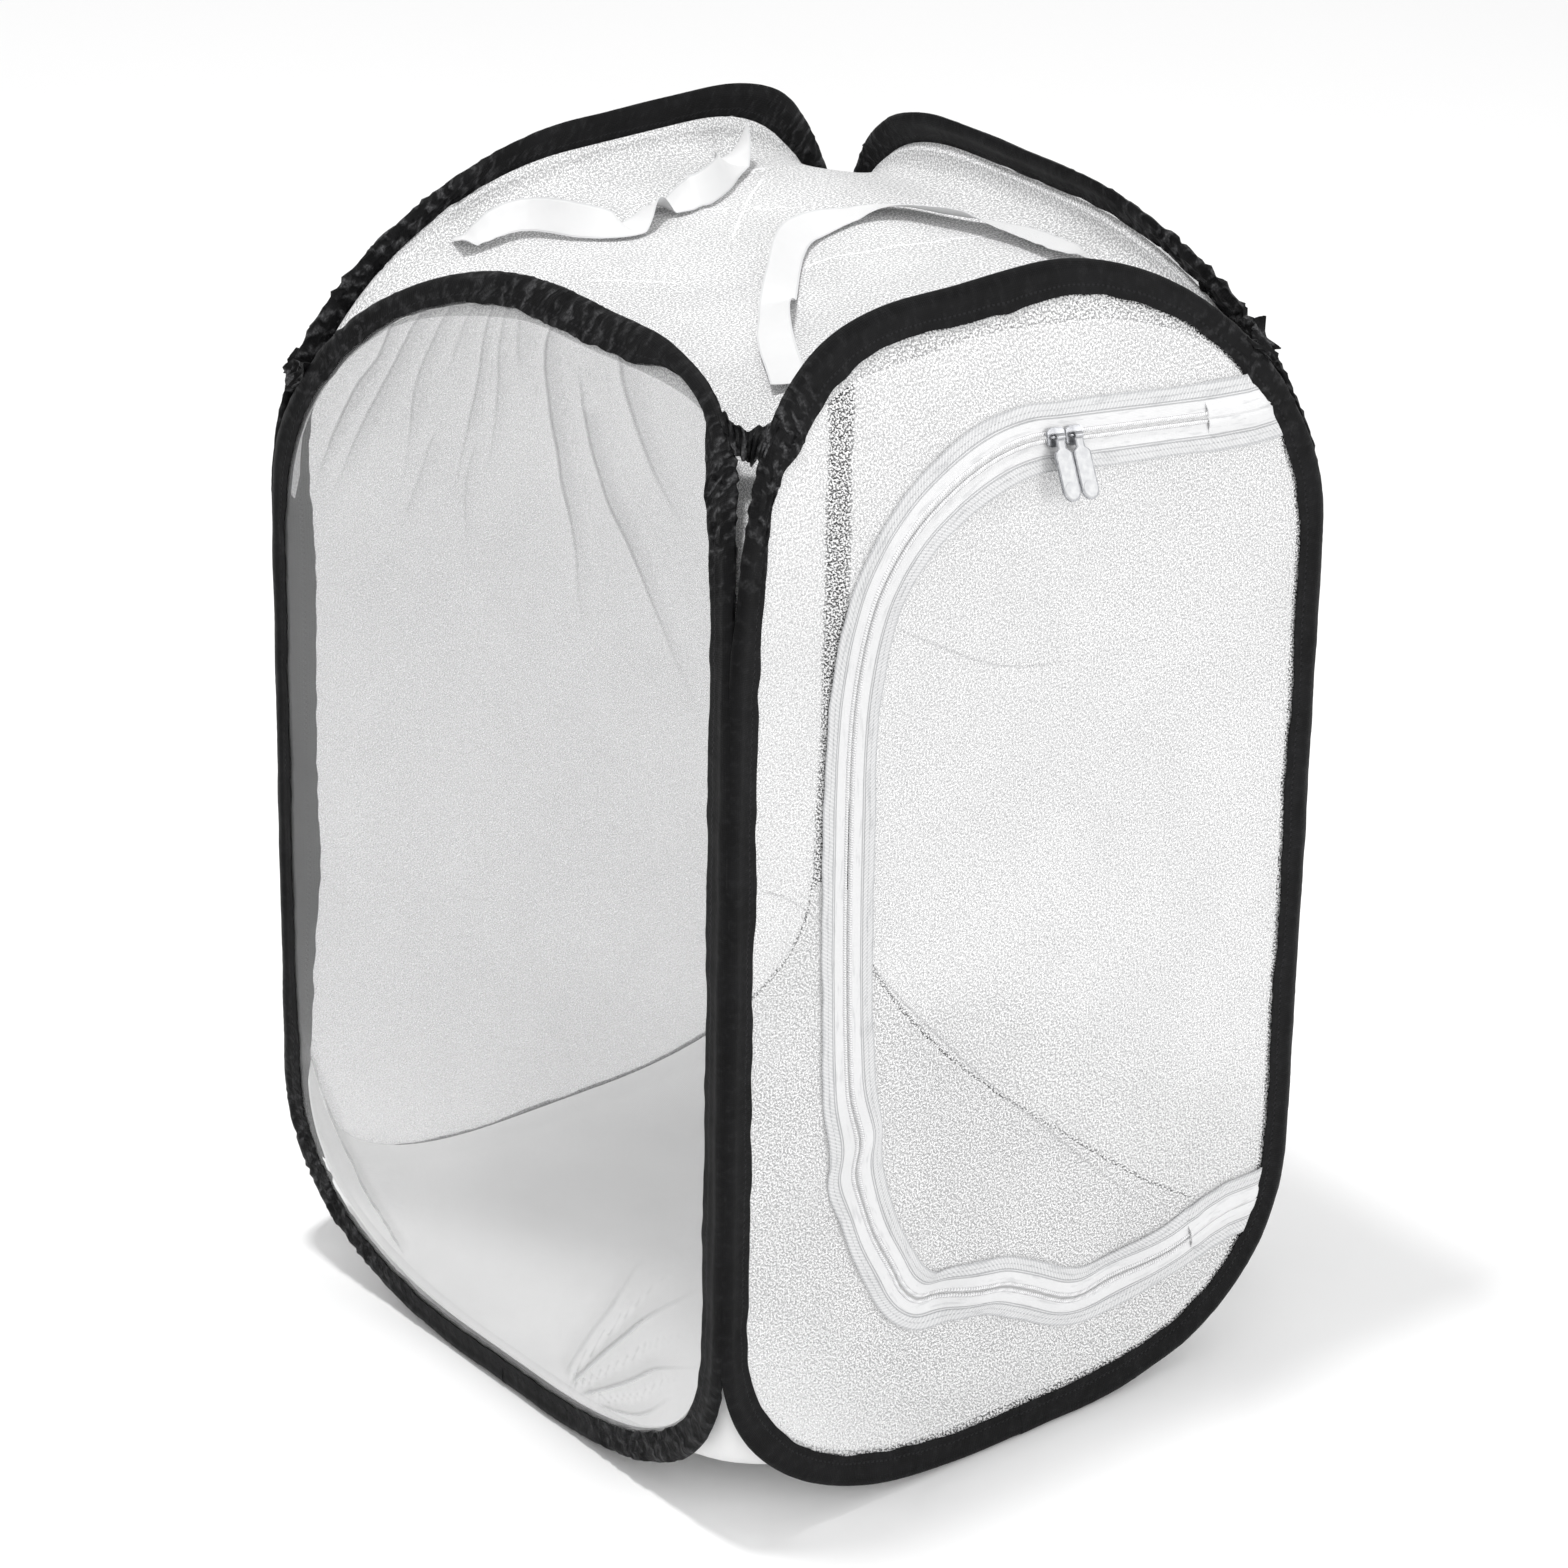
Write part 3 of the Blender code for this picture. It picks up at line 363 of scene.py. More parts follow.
def creases(along, up, lines):
    """Ridges along lines, each its points, width and height. Gives the height of the cloth at each place,
    the distance to the nearest line, and how strong that line is there. A fold wider than a seam dies
    away along its length."""
    total, strong = np.zeros_like(along), np.zeros_like(along)
    near, second = np.full(along.shape, 0.05), np.full(along.shape, 0.05)
    for points, width, height in lines:
        points = smooth_line(points, 24)
        run = lengths(points)
        ahead = np.diff(points, axis=0)
        best, where = np.full(along.shape, 9.0), np.zeros(along.shape)
        for p, d, s in zip(points[:-1], ahead, run[:-1]):
            size = np.hypot(*d)
            t = ((along - p[0]) * d[0] + (up - p[1]) * d[1]) / size**2
            t = np.clip(t, 0, 1)
            far = np.hypot(along - p[0] - t * d[0], up - p[1] - t * d[1])
            side = (along - p[0]) * d[1] - (up - p[1]) * d[0]
            nearer = far < np.abs(best)
            best = np.where(nearer, far * np.where(side < 0, -1, 1), best)
            where = np.where(nearer, (s + t * size) / run[-1], where)
        fade = eased(where, -0.05, 0.08) * (1 - eased(where, 0.90 if width < SEAM else 0.45, 1.0))
        total += height * fade * np.exp(-((best / width) ** 2)) * (1 + 0.6 * np.tanh(best / width))
        nearer = np.abs(best) < np.abs(near)
        second = np.minimum(second, np.where(nearer, np.abs(near), np.abs(best)))
        near = np.where(nearer, best, near)
        strong = np.where(nearer, fade * min(1.0, height / 0.0014), strong)
    return total, near, strong * eased(second - np.abs(near), 0.0020, 0.0055)


# Finishes.


class Value:
    """A shader value. Sums on it add Math nodes."""

    def __init__(self, finish, socket):
        self.finish, self.socket = finish, socket

    def math(self, operation, *values):
        inputs = dict(enumerate(values))
        return self.finish.node("ShaderNodeMath", {"operation": operation}, inputs)

    def __add__(self, other):
        return self.math("ADD", self, other)

    __radd__ = __add__

    def __sub__(self, other):
        return self.math("SUBTRACT", self, other)

    def __rsub__(self, other):
        return self.math("SUBTRACT", other, self)

    def __mul__(self, other):
        return self.math("MULTIPLY", self, other)

    __rmul__ = __mul__

    def __truediv__(self, other):
        return self.math("DIVIDE", self, other)

    def wave(self):
        """From 0 to 1 and back as this grows by one."""
        return self.math("SINE", self * (2 * math.pi)) * 0.5 + 0.5

    def size(self):
        return self.math("ABSOLUTE", self)

    def least(self, other):
        return self.math("MINIMUM", self, other)

    def most(self, other):
        return self.math("MAXIMUM", self, other)

    def rise(self, low, high):
        """0 below low and 1 above high, or the other way round."""
        settings = {"interpolation_type": "SMOOTHSTEP"}
        inputs = {"Value": self, "From Min": low, "From Max": high}
        return self.finish.node("ShaderNodeMapRange", settings, inputs)

    def band(self, middle, half):
        """1 at the middle, 0 further than half away."""
        return (self - middle).size().rise(half, half * 0.4)


class Finish:
    """A material being made: its Principled shader and what feeds it."""

    def __init__(self, name, **fixed):
        self.material = bpy.data.materials.new(name)
        self.material.use_nodes = True
        self.tree = self.material.node_tree
        self.shader = self.tree.nodes["Principled BSDF"]
        self.set(**fixed)

    def set(self, **values):
        for socket, value in values.items():
            self.feed(self.shader.inputs[socket.replace("_", " ")], value)

    def feed(self, socket, value):
        if isinstance(value, Value):
            self.tree.links.new(value.socket, socket)
        else:
            socket.default_value = value

    def node(self, kind, settings=None, inputs=None, output=0):
        """A new node: its settings first, then its sockets' values or links."""
        made = self.tree.nodes.new(kind)
        for key, value in (settings or {}).items():
            setattr(made, key, value)
        for key, value in (inputs or {}).items():
            self.feed(made.inputs[key], value)
        return Value(self, made.outputs[output])

    def flat_place(self):
        """The place on the cut cloth, in metres."""
        return self.node("ShaderNodeUVMap", {"uv_map": "cut"})

    def cut(self):
        """The same as two values: along the cloth and across it."""
        split = self.node("ShaderNodeSeparateXYZ", inputs={0: self.flat_place()})
        return split, Value(self, split.socket.node.outputs[1])

    def mark(self, key):
        """A value that the mesh holds at its points."""
        return self.node("ShaderNodeAttribute", {"attribute_name": key}, output=2)

    def space(self):
        return self.node("ShaderNodeTexCoord", output="Object")

    def noise(self, place, scale, detail=3.0, roughness=0.55):
        inputs = {"Vector": place, "Scale": scale, "Detail": detail, "Roughness": roughness}
        return self.node("ShaderNodeTexNoise", inputs=inputs)

    def blend(self, share, under, colour):
        """A colour laid over another colour, or over what a node gives, by a share."""
        under = under if isinstance(under, Value) else (*under, 1)
        inputs = {0: share, 6: under, 7: (*colour, 1)}
        return self.node("ShaderNodeMix", {"data_type": "RGBA"}, inputs, output=2)

    def bump(self, height, distance, strength=1.0):
        inputs = {"Height": height, "Distance": distance, "Strength": strength}
        self.feed(self.shader.inputs["Normal"], self.node("ShaderNodeBump", inputs=inputs))


def black_tape():
    """Thin woven black tape, a little shiny, stitched near its open edge, pleated where it is gathered, with
    a painted highlight on its pleats' crests.
    """
    made = Finish("black_tape", IOR=1.45, Specular_IOR_Level=0.13, Sheen_Weight=0.01, Sheen_Roughness=0.4)
    along, across = made.cut()
    weave = (along * 900).wave() * (across * 1100).wave()
    cloud = made.noise(made.space(), 60.0)
    fine = made.noise(made.space(), 800.0, 2.0)
    bend = made.noise(made.flat_place(), 75.0, 2.0)
    row = (across.size() - 0.0128).band(0.0, 0.0006)
    stitch = row * (along / 0.0030).wave().rise(0.35, 0.6)
    gathered = made.mark("fold")
    patchy = made.noise(made.flat_place(), 130.0, 2.0)
    pleat = (along / 0.0085 + across * 60 + bend * 2.2).wave()
    small = (along / 0.0042 - across * 60 + bend * 3.0).wave()
    ridge = (pleat * 0.7 + small * 0.3) * patchy.rise(0.30, 0.62)
    # Painted highlight: where the tape is gathered, the crests of its pleats are painted a lighter grey.
    painted_highlight = gathered * ridge.rise(0.20, 0.95) * (0.35 + fine.rise(0.40, 0.62) * 0.65)
    tone = cloud * 0.55 + fine * 0.35 + weave * 0.10
    base = made.blend(tone.rise(0.30, 0.75), (0.0018, 0.0018, 0.0020), (0.0080, 0.0080, 0.0088))
    base = made.blend(painted_highlight.least(1.0), base, (0.085, 0.085, 0.088))
    made.set(Base_Color=made.blend(stitch * 0.5, base, (0.022, 0.022, 0.024)))
    made.set(Roughness=0.40 + 0.28 * fine)
    made.bump(weave * 0.15 + fine * 0.30 + stitch * 0.6 - row * 0.4 + gathered * ridge * 2.0, 0.0006)
    return made.material


def net(name, closed, opened, white=0.96, shade=0.45, seam=0.34, size=930.0, hole_shade_strength=0.7):
    """Knitted netting: crooked white threads round small openings, with painted shade in their hollows, in
    the openings and at dark specks, and a painted line along creases.
    """
    made = Finish(name, Roughness=0.78, IOR=1.40, Specular_IOR_Level=0.25)
    place = made.flat_place()
    knit = made.noise(place, size, 1.0, 0.5)
    fine = made.noise(place, size * 1.8, 1.0, 0.5)
    cloud = made.noise(made.space(), 14.0, 3.0)
    thread = (knit * 0.75 + fine * 0.25).rise(0.485, 0.555)
    # Painted shade in the knit's hollows, with a little cloudy tone.
    painted_hollow_shade = fine.rise(0.56, 0.40) * 0.55 + cloud.rise(0.65, 0.35) * 0.15
    line = made.mark("strong") * made.mark("near").size().rise(0.0010, 0.0002)
    # Painted shade: dark specks at the openings, where the cloth behind is in shade.
    hole_shade = knit.rise(0.38, 0.30) * hole_shade_strength
    # These painted shades, together with painted shade in the openings themselves, darken the white threads
    # towards the shade colour.
    dark = (painted_hollow_shade * 0.6 + (1 - thread) * 0.5 + hole_shade).least(1.0)
    base = made.blend(dark, (white, white, white), (shade, shade, shade * 1.02))
    # Painted along creases: a line of the seam colour, which is painted shade where dark and a painted
    # highlight where light, as on the top netting.
    made.set(Base_Color=made.blend(line * 0.7, base, (seam, seam, seam * 1.02)))
    made.set(Alpha=(opened + (closed - opened) * thread + line * 0.5 + hole_shade * 0.6).least(1.0))
    made.bump(thread + line, 0.0003, 0.4)
    return made.material


def sheer_cloth():
    """Thin smooth cloth that lets light through, denser along its creases, with painted shade along them, a
    painted highlight beside them, and painted light towards its bottom.
    """
    made = Finish("sheer_cloth", Roughness=0.55, IOR=1.42, Specular_IOR_Level=0.3, Sheen_Weight=0.05)
    along, across = made.cut()
    weave = (along * 1300).wave() * 0.5 + (across * 1300).wave() * 0.5
    cloud = made.noise(made.flat_place(), 9.0, 2.0)
    slub = made.noise(made.flat_place(), 300.0, 2.0)
    near, strong = made.mark("near"), made.mark("strong")
    # Painted shade: a dark line along each crease, with a band of painted shade on one side of it and a
    # painted highlight on the other.
    line = strong * near.size().rise(0.0020, 0.0001)
    shaded = strong * near.rise(-0.0010, 0.0006) * near.rise(0.0130, 0.0006)
    lit = strong * near.rise(0.0004, -0.0010) * near.rise(-0.0150, -0.0006)
    base = made.blend(cloud.rise(0.3, 0.7), (0.42, 0.422, 0.425), (0.48, 0.482, 0.485))
    # Painted light: lighter towards the bottom, where the white floor lies behind the cloth.
    base = made.blend(across.rise(0.24, 0.06) * 0.6, base, (0.80, 0.80, 0.80))
    base = made.blend(shaded * 0.45, base, (0.28, 0.282, 0.285))
    base = made.blend(line * 0.45, base, (0.16, 0.162, 0.165))
    base = made.blend(lit * 0.50, base, (0.72, 0.722, 0.725))
    made.set(Base_Color=base)
    made.set(Alpha=(0.165 + 0.03 * weave + 0.02 * slub + shaded * 0.10 + lit * 0.08 + line * 0.20).least(1.0))
    made.bump(weave * 0.3 + line * 0.7, 0.0002, 0.4)
    return made.material


def floor_cloth():
    """Opaque plain white cloth with a woven face."""
    made = Finish("floor_cloth", Roughness=0.78, IOR=1.42, Sheen_Weight=0.08)
    place = made.flat_place()
    along, across = made.cut()
    weave = (along * 1000).wave() * 0.5 + (across * 1000).wave() * 0.5
    cloud = made.noise(place, 12.0, 4.0)
    base = made.blend(cloud.rise(0.3, 0.7), (0.88, 0.88, 0.88), (0.94, 0.94, 0.938))
    made.set(Base_Color=base)
    made.bump(weave * 0.5 + cloud * 0.5, 0.0003, 0.6)
    return made.material


def zip_satin():
    """The zip's satin tape: slanted ribs on its outer part, two woven lines, stitch rows and darker streaks
    of painted sheen.
    """
    made = Finish("zip_satin", IOR=1.46, Sheen_Weight=0.10)
    along, across = made.cut()
    side = across.size()
    ribs = ((along + side * 0.8) / 0.0021).wave()
    outer = side.rise(0.0088, 0.0098)
    lines = side.band(0.0083, 0.0004).most(side.band(0.0094, 0.0004))
    edge = side.rise(0.0147, 0.0153)
    row = side.band(0.0122, 0.0004) * (along / 0.0024).wave().rise(0.3, 0.6)
    weave = (along / 0.0009).wave() * 0.5 + (side / 0.0007).wave() * 0.5
    grain = made.noise(made.flat_place(), 240.0, 2.0)
    # Painted sheen: long streaks along the band, darker where the satin's sheen falls away.
    drawn = made.node("ShaderNodeMapping", inputs={"Vector": made.flat_place(), "Scale": (60, 380, 1)})
    streak = made.noise(drawn, 1.0, 3.0).rise(0.54, 0.68)
    dark = ribs * outer * 0.45 + lines * 0.8 + row * 0.5 + edge * 0.5 + grain * 0.15 + streak * 0.35
    dark = dark.least(1.0)
    made.set(Base_Color=made.blend(dark, (0.75, 0.75, 0.755), (0.44, 0.445, 0.455)))
    made.set(Roughness=0.34 + 0.25 * grain)
    made.bump(ribs * outer * 0.6 + weave * 0.3 - lines - row * 0.5, 0.0004, 0.8)
    return made.material


def zip_teeth():
    """The coil's nylon: white, slightly glossy, with painted shade between its turns."""
    made = Finish("zip_teeth", IOR=1.50)
    along, across = made.cut()
    turn = ((along + across * 0.4) / 0.0013).wave()
    grain = made.noise(made.flat_place(), 500.0, 2.0)
    # Painted shade: darker between the coil's turns.
    base = made.blend((turn * 0.75 + grain * 0.25).rise(0.15, 0.7), (0.66, 0.66, 0.67), (0.92, 0.92, 0.925))
    made.set(Base_Color=base, Roughness=0.28 + 0.2 * grain)
    made.bump(turn, 0.0004, 0.8)
    return made.material


def satin_ribbon():
    """White satin ribbon with fine lengthways threads and a woven edge."""
    made = Finish("satin_ribbon", IOR=1.46, Sheen_Weight=0.15)
    across = made.cut()[1]
    threads = (across * 2200).wave()
    edge = across.size().rise(0.0078, 0.0084)
    cloud = made.noise(made.flat_place(), 60.0, 3.0)
    dark = (edge * 0.5 + threads * 0.15 + cloud * 0.25).least(1.0)
    made.set(Base_Color=made.blend(dark, (0.82, 0.82, 0.82), (0.62, 0.625, 0.635)))
    made.set(Roughness=0.32 + 0.25 * cloud)
    made.bump(threads * 0.4 - edge, 0.0003, 0.7)
    return made.material


def pull_metal():
    """Satin nickel on the sliders and pulls, with a fine brushed grain and a cloudy tone."""
    made = Finish("pull_metal", Metallic=0.85, IOR=1.5)
    place = made.space()
    brushed = made.noise(
        made.node("ShaderNodeMapping", inputs={"Vector": place, "Scale": (1, 1, 14)}), 700.0, 2.0
    )
    cloud = made.noise(place, 180.0, 3.0)
    made.set(Base_Color=made.blend(cloud.rise(0.3, 0.7), (0.28, 0.285, 0.30), (0.46, 0.465, 0.48)))
    made.set(Roughness=0.24 + 0.22 * brushed)
    made.bump(brushed * 0.6 + cloud * 0.4, 0.00006, 0.6)
    return made.material


def pull_face():
    """The pull's pale painted face."""
    made = Finish("pull_face", Metallic=0.25, IOR=1.5, Coat_Roughness=0.2)
    place = made.space()
    cloud = made.noise(place, 260.0, 3.0)
    fine = made.noise(place, 1500.0, 2.0)
    made.set(Base_Color=made.blend(cloud.rise(0.3, 0.7), (0.54, 0.545, 0.56), (0.66, 0.665, 0.67)))
    made.set(Roughness=0.30 + 0.2 * fine)
    made.bump(fine, 0.00005, 0.5)
    return made.material


def spring_steel():
    """Drawn spring wire: blue grey, with a mottled tone."""
    made = Finish("spring_steel", Metallic=1.0)
    place = made.space()
    streak = made.noise(place, 320.0, 3.0)
    made.set(Base_Color=made.blend(streak, (0.26, 0.27, 0.29), (0.50, 0.51, 0.53)))
    made.set(Roughness=0.24 + 0.25 * streak)
    made.bump(streak, 0.0001, 0.4)
    return made.material


def studio_paper():
    """The plain pale floor."""
    made = Finish("studio_paper", IOR=1.40)
    cloud = made.noise(made.space(), 2.0, 3.0)
    made.set(Base_Color=made.blend(cloud, (0.95, 0.95, 0.95), (0.97, 0.97, 0.97)))
    made.set(Roughness=0.80 + 0.1 * cloud)
    return made.material


FINISHES = {
    "tape": black_tape(),
    # A netting's seam colour is painted along its creases: dark as painted shade on the sides, light as a
    # painted highlight on the top.
    "netting": net("white_netting", 0.90, 0.03),
    "top_netting": net("close_netting", 0.97, 0.88, 0.96, 0.38, 0.99, 820.0, 0.75),
    "far_netting": net("far_netting", 0.56, 0.28, 0.97, 0.66, hole_shade_strength=0.0),
    "sheer": sheer_cloth(),
    "floor": floor_cloth(),
    "zip_tape": zip_satin(),
    "zip_coil": zip_teeth(),
    "pull": pull_metal(),
    "pull_face": pull_face(),
    "ribbon": satin_ribbon(),
    "steel": spring_steel(),
}


def dress(obj, finish, body, node=None):
    """Gives a piece its finish and its body, and hides the CAD node that it stands for."""
    obj.data.materials.append(FINISHES[finish])
    if node:
        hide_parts(node)
    if body:
        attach(obj, body)
    return obj


# Black tape round the hoops.

TAPE_FOLD = (
    (-0.0080, 0.0013), (-0.0065, 0.0015), (-0.0050, 0.0015), (-0.0035, 0.0018), (-0.0015, 0.0018),
    (0.0005, 0.0020), (0.0020, 0.0024), (0.0034, 0.0026), (0.0048, 0.0023), (0.0062, 0.0018),
    (0.0074, 0.0010), (0.0079, 0.0),
)

# Where a tape's rim, then its open edge, is drawn in: along, up, reach and how far.
DRAWN_RIMS = {
    "left": ((-0.168, 0.525, 0.040, 0.0022), (-0.166, 0.470, 0.030, 0.0006), (-0.085, 0.570, 0.040, 0.0024)),
    "front": ((-0.168, 0.525, 0.040, 0.0022), (-0.166, 0.470, 0.030, 0.0006)),
}
DRAWN_EDGES = {
    "left": ((-0.082, 0.569, 0.040, 0.0078), (0.180, 0.300, 0.170, 0.0050), (-0.150, 0.530, 0.020, -0.0015)),
    "right": ((0.180, 0.330, 0.190, 0.0070),),
    "front": ((-0.140, 0.545, 0.022, 0.0030),),
    "back": ((-0.178, 0.330, 0.170, -0.0080), (0.178, 0.330, 0.190, 0.0055)),
}


def slimness(side, line):
    """How far the tape's rim and its open edge are drawn in at each point."""
    drawn = []
    for table in (DRAWN_RIMS, DRAWN_EDGES):
        total = np.zeros(len(line))
        for *spot, reach, amount in table.get(side.name, ()):
            total = total + amount * np.exp(-(far_share(*line.T, spot, reach) ** 2))
        drawn.append(total)
    return drawn


def pleats(run, across, seed):
    """Crooked pleats across a gathered tape, from -1 to 1, here strong and there flat."""
    bend = uneven(run, across, 0.034, seed) * 1.5 + uneven(run, across, 0.012, seed + 7) * 0.5
    strong = eased(uneven(run, across * 0.4, 0.020, seed + 8), -0.7, 0.5)
    sharp = 1 - 2 * np.abs(np.sin(math.pi * (run / 0.0105 + across * 60 + bend)))
    small = 1 - 2 * np.abs(np.sin(math.pi * (run / 0.0047 - across * 90 + bend * 1.7)))
    return strong * (0.8 * sharp + 0.35 * small) + 0.35 * uneven(run, across, 0.008, seed + 9)


def make_tape(side):
    """The folded tape round one hoop: a ridge over the wire, wavy open edges, scrunched bends."""
    fold = np.array(TAPE_FOLD)
    path = np.vstack([fold, fold[-2::-1] * (1, -1)])
    across = lengths(path)
    across -= across[-1] / 2
    run = lengths(side.line)
    strength = scrunch(side, side.line)
    seed = 11 + len(side.name) + sum(map(ord, side.name)) % 50
    slim, widths = slimness(side, side.line)
    drawn = np.clip(widths / 0.0078, 0, 1)
    rows = []
    for k, (offset, depth) in enumerate(path):
        open_edge = eased(-offset, -0.002, 0.008)
        wander = uneven(run, 0, 0.070, seed) * 0.0007 + uneven(run, 0, 0.016, seed + 1) * 0.0004
        ruffle = pleats(run, across[k], seed + 2)
        o = offset - min(offset - 0.002, 0.0) * widths / 0.010
        o = o + open_edge * (wander * (1 + strength) + ruffle * 0.0011 * strength)
        o = o + (1 - open_edge) * (ruffle * 0.0006 * strength - slim)
        o = o + (1 - open_edge) * uneven(run, 0, 0.050, seed + 3) * 0.0003
        swell = ruffle * 0.0022 * strength * (1 - 0.9 * drawn)
        swell = swell + uneven(run, across[k], 0.030, seed + 4) * 0.00025
        face = np.sign(depth) * min(1.0, abs(depth) / 0.0010)
        d = depth + face * np.maximum(swell, -0.0008)
        line = side.line + side.normals * o[:, None]
        place = side.place(line[:, 0], line[:, 1], d)
        place[:, 2] = np.maximum(place[:, 2], 0.0)
        rows.append(place)
    # How gathered the tape is. This sets both the bump of its pleats and their painted highlight.
    fold = np.repeat(np.minimum(1, strength * 1.3), len(path))
    made = strip_cloth(f"tape_{side.name}", np.stack(rows, axis=1), run, across, TAPE_CLOTH, fold=fold)
    dress(made, "tape", "cage", f"binding_{side.name}")


# Net sides and the sheer side. Creases are points on the side, their width and their height.

FLOOR_LINE = (
    ((-0.100, 0.298), (-0.060, 0.250), (-0.013, 0.199), (0.043, 0.144), (0.094, 0.094)), 0.0018, 0.0008,
)
FRONT_CREASES = (
    (((-0.166, 0.358), (-0.150, 0.348), (-0.132, 0.332)), 0.0016, 0.0007),
    (((0.125, 0.509), (0.140, 0.490), (0.154, 0.472)), 0.0025, 0.0008),
    (((0.130, 0.507), (0.150, 0.474), (0.168, 0.441)), 0.0025, 0.0008),
)
DOOR_CREASES = (
    FLOOR_LINE,
    (((-0.085, 0.470), (-0.020, 0.435), (0.060, 0.420)), 0.0030, 0.0006),
)
SHEER_FOLDS = (
    (((0.128, 0.552), (0.124, 0.532), (0.132, 0.512), (0.143, 0.480), (0.150, 0.440)), 0.0040, 0.0014),
    (((0.112, 0.565), (0.111, 0.538), (0.114, 0.516), (0.122, 0.494), (0.138, 0.445)), 0.0040, 0.0012),
    (((0.096, 0.572), (0.092, 0.532), (0.084, 0.500), (0.080, 0.470)), 0.0040, 0.0009),
    (((0.082, 0.578), (0.079, 0.558), (0.072, 0.530)), 0.0035, 0.0006),
    (((0.073, 0.580), (0.060, 0.559), (0.052, 0.545), (0.043, 0.520), (0.036, 0.480)), 0.0040, 0.0010),
    (((0.064, 0.582), (0.052, 0.566), (0.036, 0.545), (0.022, 0.520), (0.014, 0.490)), 0.0035, 0.0008),
    (((0.057, 0.583), (0.036, 0.564), (0.018, 0.547)), 0.0035, 0.0007),
    (
        ((0.030, 0.584), (0.018, 0.568), (-0.006, 0.546), (-0.032, 0.522), (-0.056, 0.494), (-0.080, 0.440)),
        0.0050, 0.0014,
    ),
    (
        ((0.007, 0.583), (-0.025, 0.556), (-0.068, 0.523), (-0.110, 0.495), (-0.145, 0.465), (-0.173, 0.431)),
        0.0060, 0.0020,
    ),
    (((0.014, 0.585), (0.000, 0.577), (-0.030, 0.560)), 0.0035, 0.0007),
    (((-0.022, 0.582), (-0.042, 0.570), (-0.067, 0.556), (-0.099, 0.538), (-0.134, 0.520)), 0.0045, 0.0012),
    (((0.066, 0.512), (0.070, 0.485), (0.080, 0.450)), 0.0045, 0.0006),
    (((0.034, 0.516), (0.030, 0.492), (0.022, 0.460)), 0.0045, 0.0006),
    (((-0.056, 0.034), (-0.089, 0.084), (-0.130, 0.144)), 0.0040, 0.0008),
    (((-0.059, 0.030), (-0.088, 0.062), (-0.126, 0.102), (-0.171, 0.141)), 0.0040, 0.0014),
    (((-0.069, 0.029), (-0.108, 0.056), (-0.136, 0.078), (-0.176, 0.098)), 0.0045, 0.0012),
    (((-0.085, 0.030), (-0.120, 0.043), (-0.150, 0.070)), 0.0040, 0.0010),
    (((0.166, 0.130), (0.148, 0.104), (0.118, 0.066), (0.086, 0.036)), 0.0018, 0.0012),
)


WAVES = (
    (-0.104, 0.208, 0.0062, 0.015), (-0.118, 0.178, -0.0048, 0.014), (-0.086, 0.126, 0.0050, 0.017),
    (-0.051, 0.092, -0.0060, 0.013), (-0.022, 0.092, 0.0055, 0.016), (0.028, 0.068, 0.0050, 0.018),
    (0.066, 0.066, -0.0045, 0.017), (0.108, 0.076, 0.0040, 0.019),
)


def waves(along, up):
    """How far the front swells out round the foot of the zip."""
    total = 0.0
    for *spot, height, reach in WAVES:
        total = total + height * np.exp(-far_share(along, up, spot, reach))
    return total


def make_side(side, name, finish, node, outline=None, calm=None, folds=(), soft=0.0012, spacing=0.0052):
    """A cloth side sewn into its hoop's tape, with its folds and creases."""
    loop = side.offset(SEWN_IN)[:-1:2] if outline is None else outline
    edge = side.offset(-TAPE_WIDTH / 2)[:-1:2]
    flat, faces = cut_cloth(loop, spacing)
    a, z = flat[:, 0], flat[:, 1]
    rim, within = nearest(flat, edge), inside(flat, edge)
    hold = eased(rim, 0.001, 0.030) * within
    if calm is not None:
        hold = hold * eased(nearest(flat, calm), 0.013, 0.040)
    depth = hold * (uneven(a, z, 0.110, 5) * soft + uneven(a, z, 0.040, 6) * soft * 0.30)
    ridge, near, strong = creases(a, z, folds)
    depth += (eased(rim, 0.000, 0.008) * within if calm is None else hold) * ridge
    depth += np.exp(-rim / 0.010) * within * uneven(a + z, a - z, 0.013, 8) * 0.0004
    if calm is not None:
        depth += eased(rim, 0.002, 0.020) * within * waves(a, z)
    # The distance to the nearest crease and that crease's strength, by which the finish paints shade and
    # highlight along the creases.
    made = cloth(name, side.place(a, z, depth), faces, flat, near=near, strong=strong)
    dress(made, finish, "cage" if node != "door_mesh" else None, node)
    size = loop.max(axis=0) - loop.min(axis=0)


# The top and the floor, held on their seams inside the tapes.


def seam(sides, name, upper, count):
    """Where the top or the floor is sewn to one hoop: a line of even steps, kept inside its neighbours."""
    side = sides[name]
    inset = -TAPE_WIDTH / 2 + (0.0008 if upper else -0.0018)
    if upper:
        inset = inset + np.maximum(slimness(side, side.line)[1], 0)[:, None]
    line = side.offset(inset)[:-1]
    level = side.top - TOP_BEND[1] if upper else side.foot + FOOT_BEND[1]
    run = line[line[:, 1] > level] if upper else line[line[:, 1] < level]
    run = run[np.argsort(run[:, 0], kind="quicksort" if upper else "stable")]
    order = [0]
    left = list(range(1, len(run)))
    while left:
        last = run[order[-1]]
        step = min(left[:40], key=lambda k: np.hypot(*(run[k] - last)))
        order.append(step)
        left.remove(step)
    run = run[order]
    points = side.place(run[:, 0], run[:, 1], np.full(len(run), -0.0023))
    across = int(np.argmax(side.run))
    for other in ("left", "right") if across == 0 else ("front", "back"):
        sign = sides[other].out.sum()
        zero = np.zeros(len(points))
        limit = sides[other].place(zero, points[:, 2], zero - TAPE_THICKNESS / 2 - 0.0015)
        limit = np.abs(limit[:, across])
        points[:, across] = sign * np.minimum(sign * points[:, across], limit)
    return even(points, count + 1)


